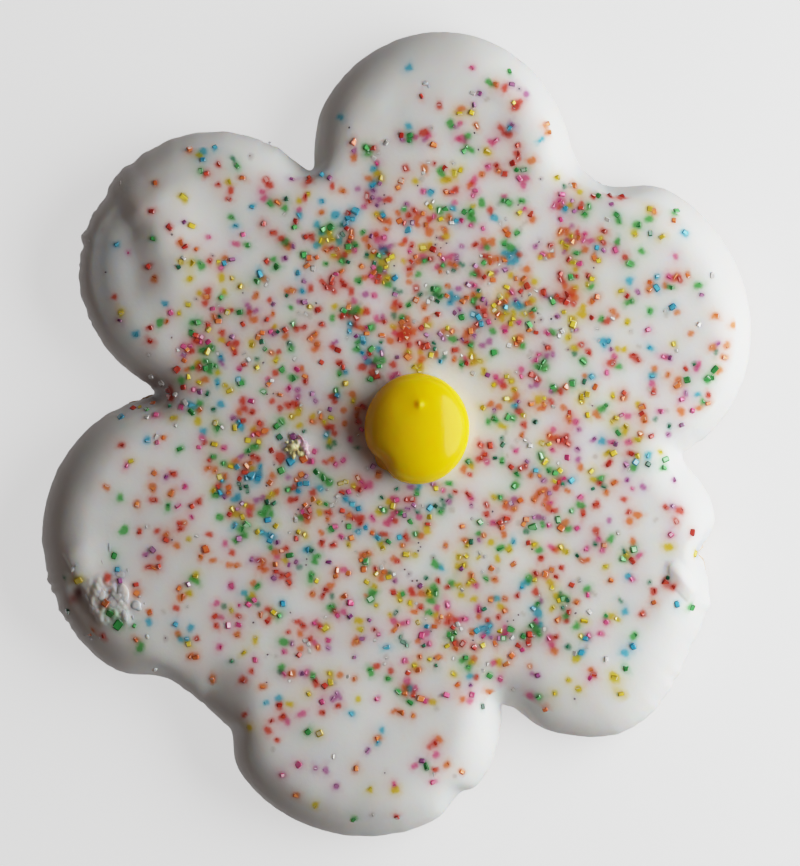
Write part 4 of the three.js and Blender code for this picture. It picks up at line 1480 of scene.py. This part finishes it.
torn.surface(
    Base_Color=torn.ramp(blush, (0.4, (0.72, 0.69, 0.665, 1)), (0.7, (0.66, 0.56, 0.56, 1))),
    Roughness=0.3 + 0.15 * torn.noise(1500),
    **SET_SUGAR,
)
torn_lumps = grown_together("icing_torn_lumps", TORN_LUMPS, 0.08, torn, softening=14, ruffled=0.2)

# The stuck crumb: a crumb of cream-coloured dough left of the middle, pressed into the wet icing. Its
# upper right is covered in pink icing. It is made of grown-together balls, like the lumps.

CRUMB = {"x": -12.4, "y": -1.5}

# x and y from the crumb's place, then rise, half sizes and turn of each ball
CRUMB_BALLS = [
    (-0.4, -0.05, 0.35, 0.7, 0.6, 0.5, 0),
    (-1.22, -0.33, 0.3, 0.33, 0.3, 0.3, 0),
    (-0.88, 0.05, 0.3, 0.4, 0.24, 0.3, 35),
    (-1.15, 0.53, 0.25, 0.2, 0.18, 0.25, 0),
    (-0.5, 0.62, 0.35, 0.16, 0.34, 0.2, 8),
    (-0.31, -1.05, 0.3, 0.24, 0.5, 0.25, -6),
    (-0.72, -0.75, 0.25, 0.13, 0.32, 0.2, -10),
    (0.17, 0.43, 0.2, 0.5, 0.6, 0.45, 0),
    (0.24, -0.7, 0.35, 0.14, 0.48, 0.2, 10),
    (0.6, -0.85, 0.25, 0.38, 0.33, 0.3, 0),
    (0.98, 0.14, 0.3, 0.55, 0.72, 0.45, 10),
    (0.26, 1.36, 0.25, 0.32, 0.15, 0.25, 0),
    (0.66, 1.08, 0.3, 0.38, 0.15, 0.25, -48),
    (1.62, 0.1, 0.2, 0.3, 0.1, 0.15, 35),
    (1.22, -0.7, 0.25, 0.38, 0.36, 0.3, 0),
]
dough = Finish("stuck_crumb_dough")
iced_side = dough.kept("iced")
dough_tone = dough.ramp(
    dough.noise(1100, detail=3),
    (0.35, shade(176, 148, 92)),
    (0.5, shade(222, 212, 150)),
    (0.7, shade(244, 238, 196)),
)
pink_tone = dough.ramp(dough.noise(900), (0.35, shade(206, 150, 178)), (0.65, shade(248, 226, 232)))
dough.surface(
    Base_Color=dough.mix(iced_side, dough_tone, pink_tone),
    Roughness=0.5 - 0.25 * iced_side,
    Normal=dough.bump(dough.noise(2400, detail=3), 0.00004),
    Subsurface_Weight=0.5,
    Subsurface_Radius=(1.0, 0.7, 0.4),
    Subsurface_Scale=0.0005,
)
crumb_balls = [(x + CRUMB["x"], y + CRUMB["y"], *rest) for x, y, *rest in CRUMB_BALLS]
stuck_crumb = grown_together("stuck_crumb", crumb_balls, 0.07, dough)
crumb_points = np.array([vertex.co for vertex in stuck_crumb.data.vertices]) / MM + MIDDLE
from_crumb = crumb_points[:, :2] - [CRUMB["x"], CRUMB["y"]]
paint(stuck_crumb, "iced", smoothstep(from_crumb @ [1, 0.55], 0.3, 0.9))

# The drop: a smooth glossy dome of yellow sugar, piped on and cut off with a small peak. It bulges
# over its foot, which is dented and spread out at the lower left.

DROP_FOOT = 0.84
DROP_GAP = 0.1
DROP_DENT = (222, 15, 0.75)
DROP_LOBE = (222, 11, 1.15)
DROP_PEAK = {"x": 0.3, "y": 3.0, "spread": 0.42, "height": 0.34}
DROP_HOLLOW = {"x": -1.4, "y": 3.2, "spread": 1.7, "height": -0.16}
# Direction, spread and amount of the painted shade in the drop's lobe
DROP_LOBE_SHADE = (222, 15, 1.0)
DROP_SIDES = 168
DROP_STEPS = 44
UNDERCUT_STEPS = 8

yellow = Finish("yellow_sugar_drop")
# The drop's yellow, mixed towards a painted amber shade where the drop is shaded
lemon_and_painted_shade = yellow.mix(yellow.kept("amber"), (1.0, 0.65, 0.0, 1), (0.9, 0.37, 0.02, 1))
yellow.surface(
    Base_Color=lemon_and_painted_shade,
    Roughness=0.15 + 0.04 * yellow.noise(900),
    Specular_IOR_Level=0.22,
    Normal=yellow.bump(yellow.noise(700), 0.00001),
    Subsurface_Weight=0.6,
    Subsurface_Radius=(1.0, 0.5, 0.05),
    Subsurface_Scale=0.003,
    IOR=1.45,
)

drop_angle = np.arange(DROP_SIDES) * 360 / DROP_SIDES
centre_flat = np.array([[DROP["x"], DROP["y"]]])
drop_seat = smooth_height(centre_flat, nearest_edge(centre_flat)[0])[0] - DROP["seat"] + DROP_GAP
drop_dent = bells([DROP_DENT], drop_angle)
drop_lobe = bells([DROP_LOBE], drop_angle)


def drop_ring(scale, rise):
    """A ring of the drop at a share of its width, with its lobe, dent, peak and hollow."""
    turn = np.radians(drop_angle)
    swell = drop_lobe * (1 - smoothstep(rise, 0.2, 1.5)) - drop_dent * smoothstep(scale, 0.6, 1)
    x = scale * (DROP["halfwidth"] + swell) * np.cos(turn)
    y = scale * (DROP["halflength"] + swell) * np.sin(turn)
    height = np.full(DROP_SIDES, drop_seat + rise)
    for mark in (DROP_PEAK, DROP_HOLLOW):
        away = np.hypot(x - mark["x"], y - mark["y"])
        height += smoothstep(rise, 2.2, 3.2) * mark["height"] * bell(away, mark["spread"])
    return np.column_stack([x + DROP["x"], y + DROP["y"], height])


drop_bulge = DROP["height"] * 0.3
drop_rings = []
for turn in np.radians(90 * (1 - np.arange(1, DROP_STEPS + 1) / DROP_STEPS)):
    drop_rings.append(drop_ring(math.cos(turn), drop_bulge + (DROP["height"] - drop_bulge) * math.sin(turn)))
for turn in np.radians(90 * np.arange(1, UNDERCUT_STEPS + 1) / UNDERCUT_STEPS):
    scale = DROP_FOOT + (1 - DROP_FOOT) * math.cos(turn)
    drop_rings.append(drop_ring(scale, drop_bulge * (1 - math.sin(turn))))

drop_skin = Skin()
drop_numbers = drop_skin.band(drop_rings)
drop_skin.fan(drop_numbers[0], [DROP["x"], DROP["y"], drop_seat + DROP["height"]])
drop_skin.fan(drop_numbers[-1][::-1], [DROP["x"], DROP["y"], drop_seat])
drop = drop_skin.piece("drop_yellow", yellow)

# Painted shade: the sugar is painted a darker amber at its shaded left rim and low down, and most of all in
# the spread lobe
drop_points = np.vstack(drop_skin.points) - [DROP["x"], DROP["y"], drop_seat]
towards_left = -(drop_points[:, 0] / DROP["halfwidth"])
low = 1 - smoothstep(drop_points[:, 2], 1.5, 4.9)
lobe_shade = bells([DROP_LOBE_SHADE], np.degrees(np.arctan2(drop_points[:, 1], drop_points[:, 0])))
amber = 0.75 * smoothstep(towards_left, 0.05, 0.85) * (0.35 + 0.65 * low)
amber += 0.8 * lobe_shade * (1 - smoothstep(drop_points[:, 2], 0.5, 1.9))
paint(drop, "amber", np.minimum(amber, 1))
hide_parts("drop")

# The floor, a window-like light low on the right, a weak light above, and the camera straight above

floor_finish = Finish("pale_floor")
floor_finish.surface(
    Base_Color=(0.42, 0.42, 0.42, 1),
    Roughness=0.9,
    Specular_IOR_Level=0.0,
    Emission_Color=(1.0, 1.0, 1.0, 1),
    Emission_Strength=0.75,
)
FLOOR_HALF_SIZE = 3.0
FLOOR_LEVEL = -0.00002
floor_mesh = bpy.data.meshes.new("floor")
floor_corners = np.array([(-1, -1), (1, -1), (1, 1), (-1, 1)]) * FLOOR_HALF_SIZE
floor_points = with_height(floor_corners, FLOOR_LEVEL).tolist()
floor_mesh.from_pydata(floor_points, [], [(0, 1, 2, 3)])
floor_mesh.materials.append(floor_finish.material)
floor = add_object("floor", floor_mesh)
floor.visible_diffuse = False

WINDOW = {"azimuth": 5, "distance": 0.21, "width": 0.375, "height": 0.22, "rise": 0.115, "power": 1.19}
OVERHEAD_SIZE = 0.8
OVERHEAD_POWER = 0.15


def add_light(name, place, size_x, size_y, power, colour):
    data = bpy.data.lights.new(name, "AREA")
    data.shape = "ELLIPSE"
    data.size, data.size_y = size_x, size_y
    data.energy = power
    data.color = colour
    light = add_object(name, data)
    light.location = place
    light.rotation_euler = (-Vector(place)).to_track_quat("-Z", "Y").to_euler()
    light.visible_camera = False


window_place = with_height(polar(WINDOW["distance"], WINDOW["azimuth"]), WINDOW["rise"])[0]
add_light("window", window_place, WINDOW["width"], WINDOW["height"], WINDOW["power"], (0.97, 1.0, 1.0))
add_light("overhead", (0.05, 0, 0.9), OVERHEAD_SIZE, OVERHEAD_SIZE, OVERHEAD_POWER, (1.0, 0.98, 0.95))

room = bpy.data.worlds.new("dim_room")
room.use_nodes = True
room.node_tree.nodes["Background"].inputs["Color"].default_value = (0.078, 0.06, 0.053, 1)
bpy.context.scene.world = room

VIEW_WIDTH = 0.1
VIEW_CENTRE = (0.00044, 0.00013)
camera_data = bpy.data.cameras.new("camera")
camera_data.lens = 240
camera_data.sensor_fit = "HORIZONTAL"
camera_data.sensor_width = 36
camera = add_object("camera", camera_data)
camera_height = VIEW_WIDTH * camera_data.lens / camera_data.sensor_width
camera.location = (*VIEW_CENTRE, WAIST_HEIGHT * MM + camera_height)
bpy.context.scene.camera = camera

# The picture's bright tones are held back softly, as a camera does, and its dark ones left as they are
BRIGHTEST = 2.0
TONE_LIMIT = 1.0
TONE_BEND = 2.2
TONE_MARKS = (0.1, 0.2, 0.3, 0.4, 0.5, 0.65, 0.8, 1.0)
view = bpy.context.scene.view_settings
view.view_transform = "Standard"
view.use_curve_mapping = True
tones = view.curve_mapping
tones.white_level = (BRIGHTEST, BRIGHTEST, BRIGHTEST)
tone_curve = tones.curves[3]
for share in TONE_MARKS:
    light = share * BRIGHTEST
    shown = light / (1 + (light / TONE_LIMIT) ** TONE_BEND) ** (1 / TONE_BEND)
    if share < 1:
        tone_curve.points.new(share, shown)
    else:
        tone_curve.points[-1].location = (share, min(shown, 1.0))
tones.update()
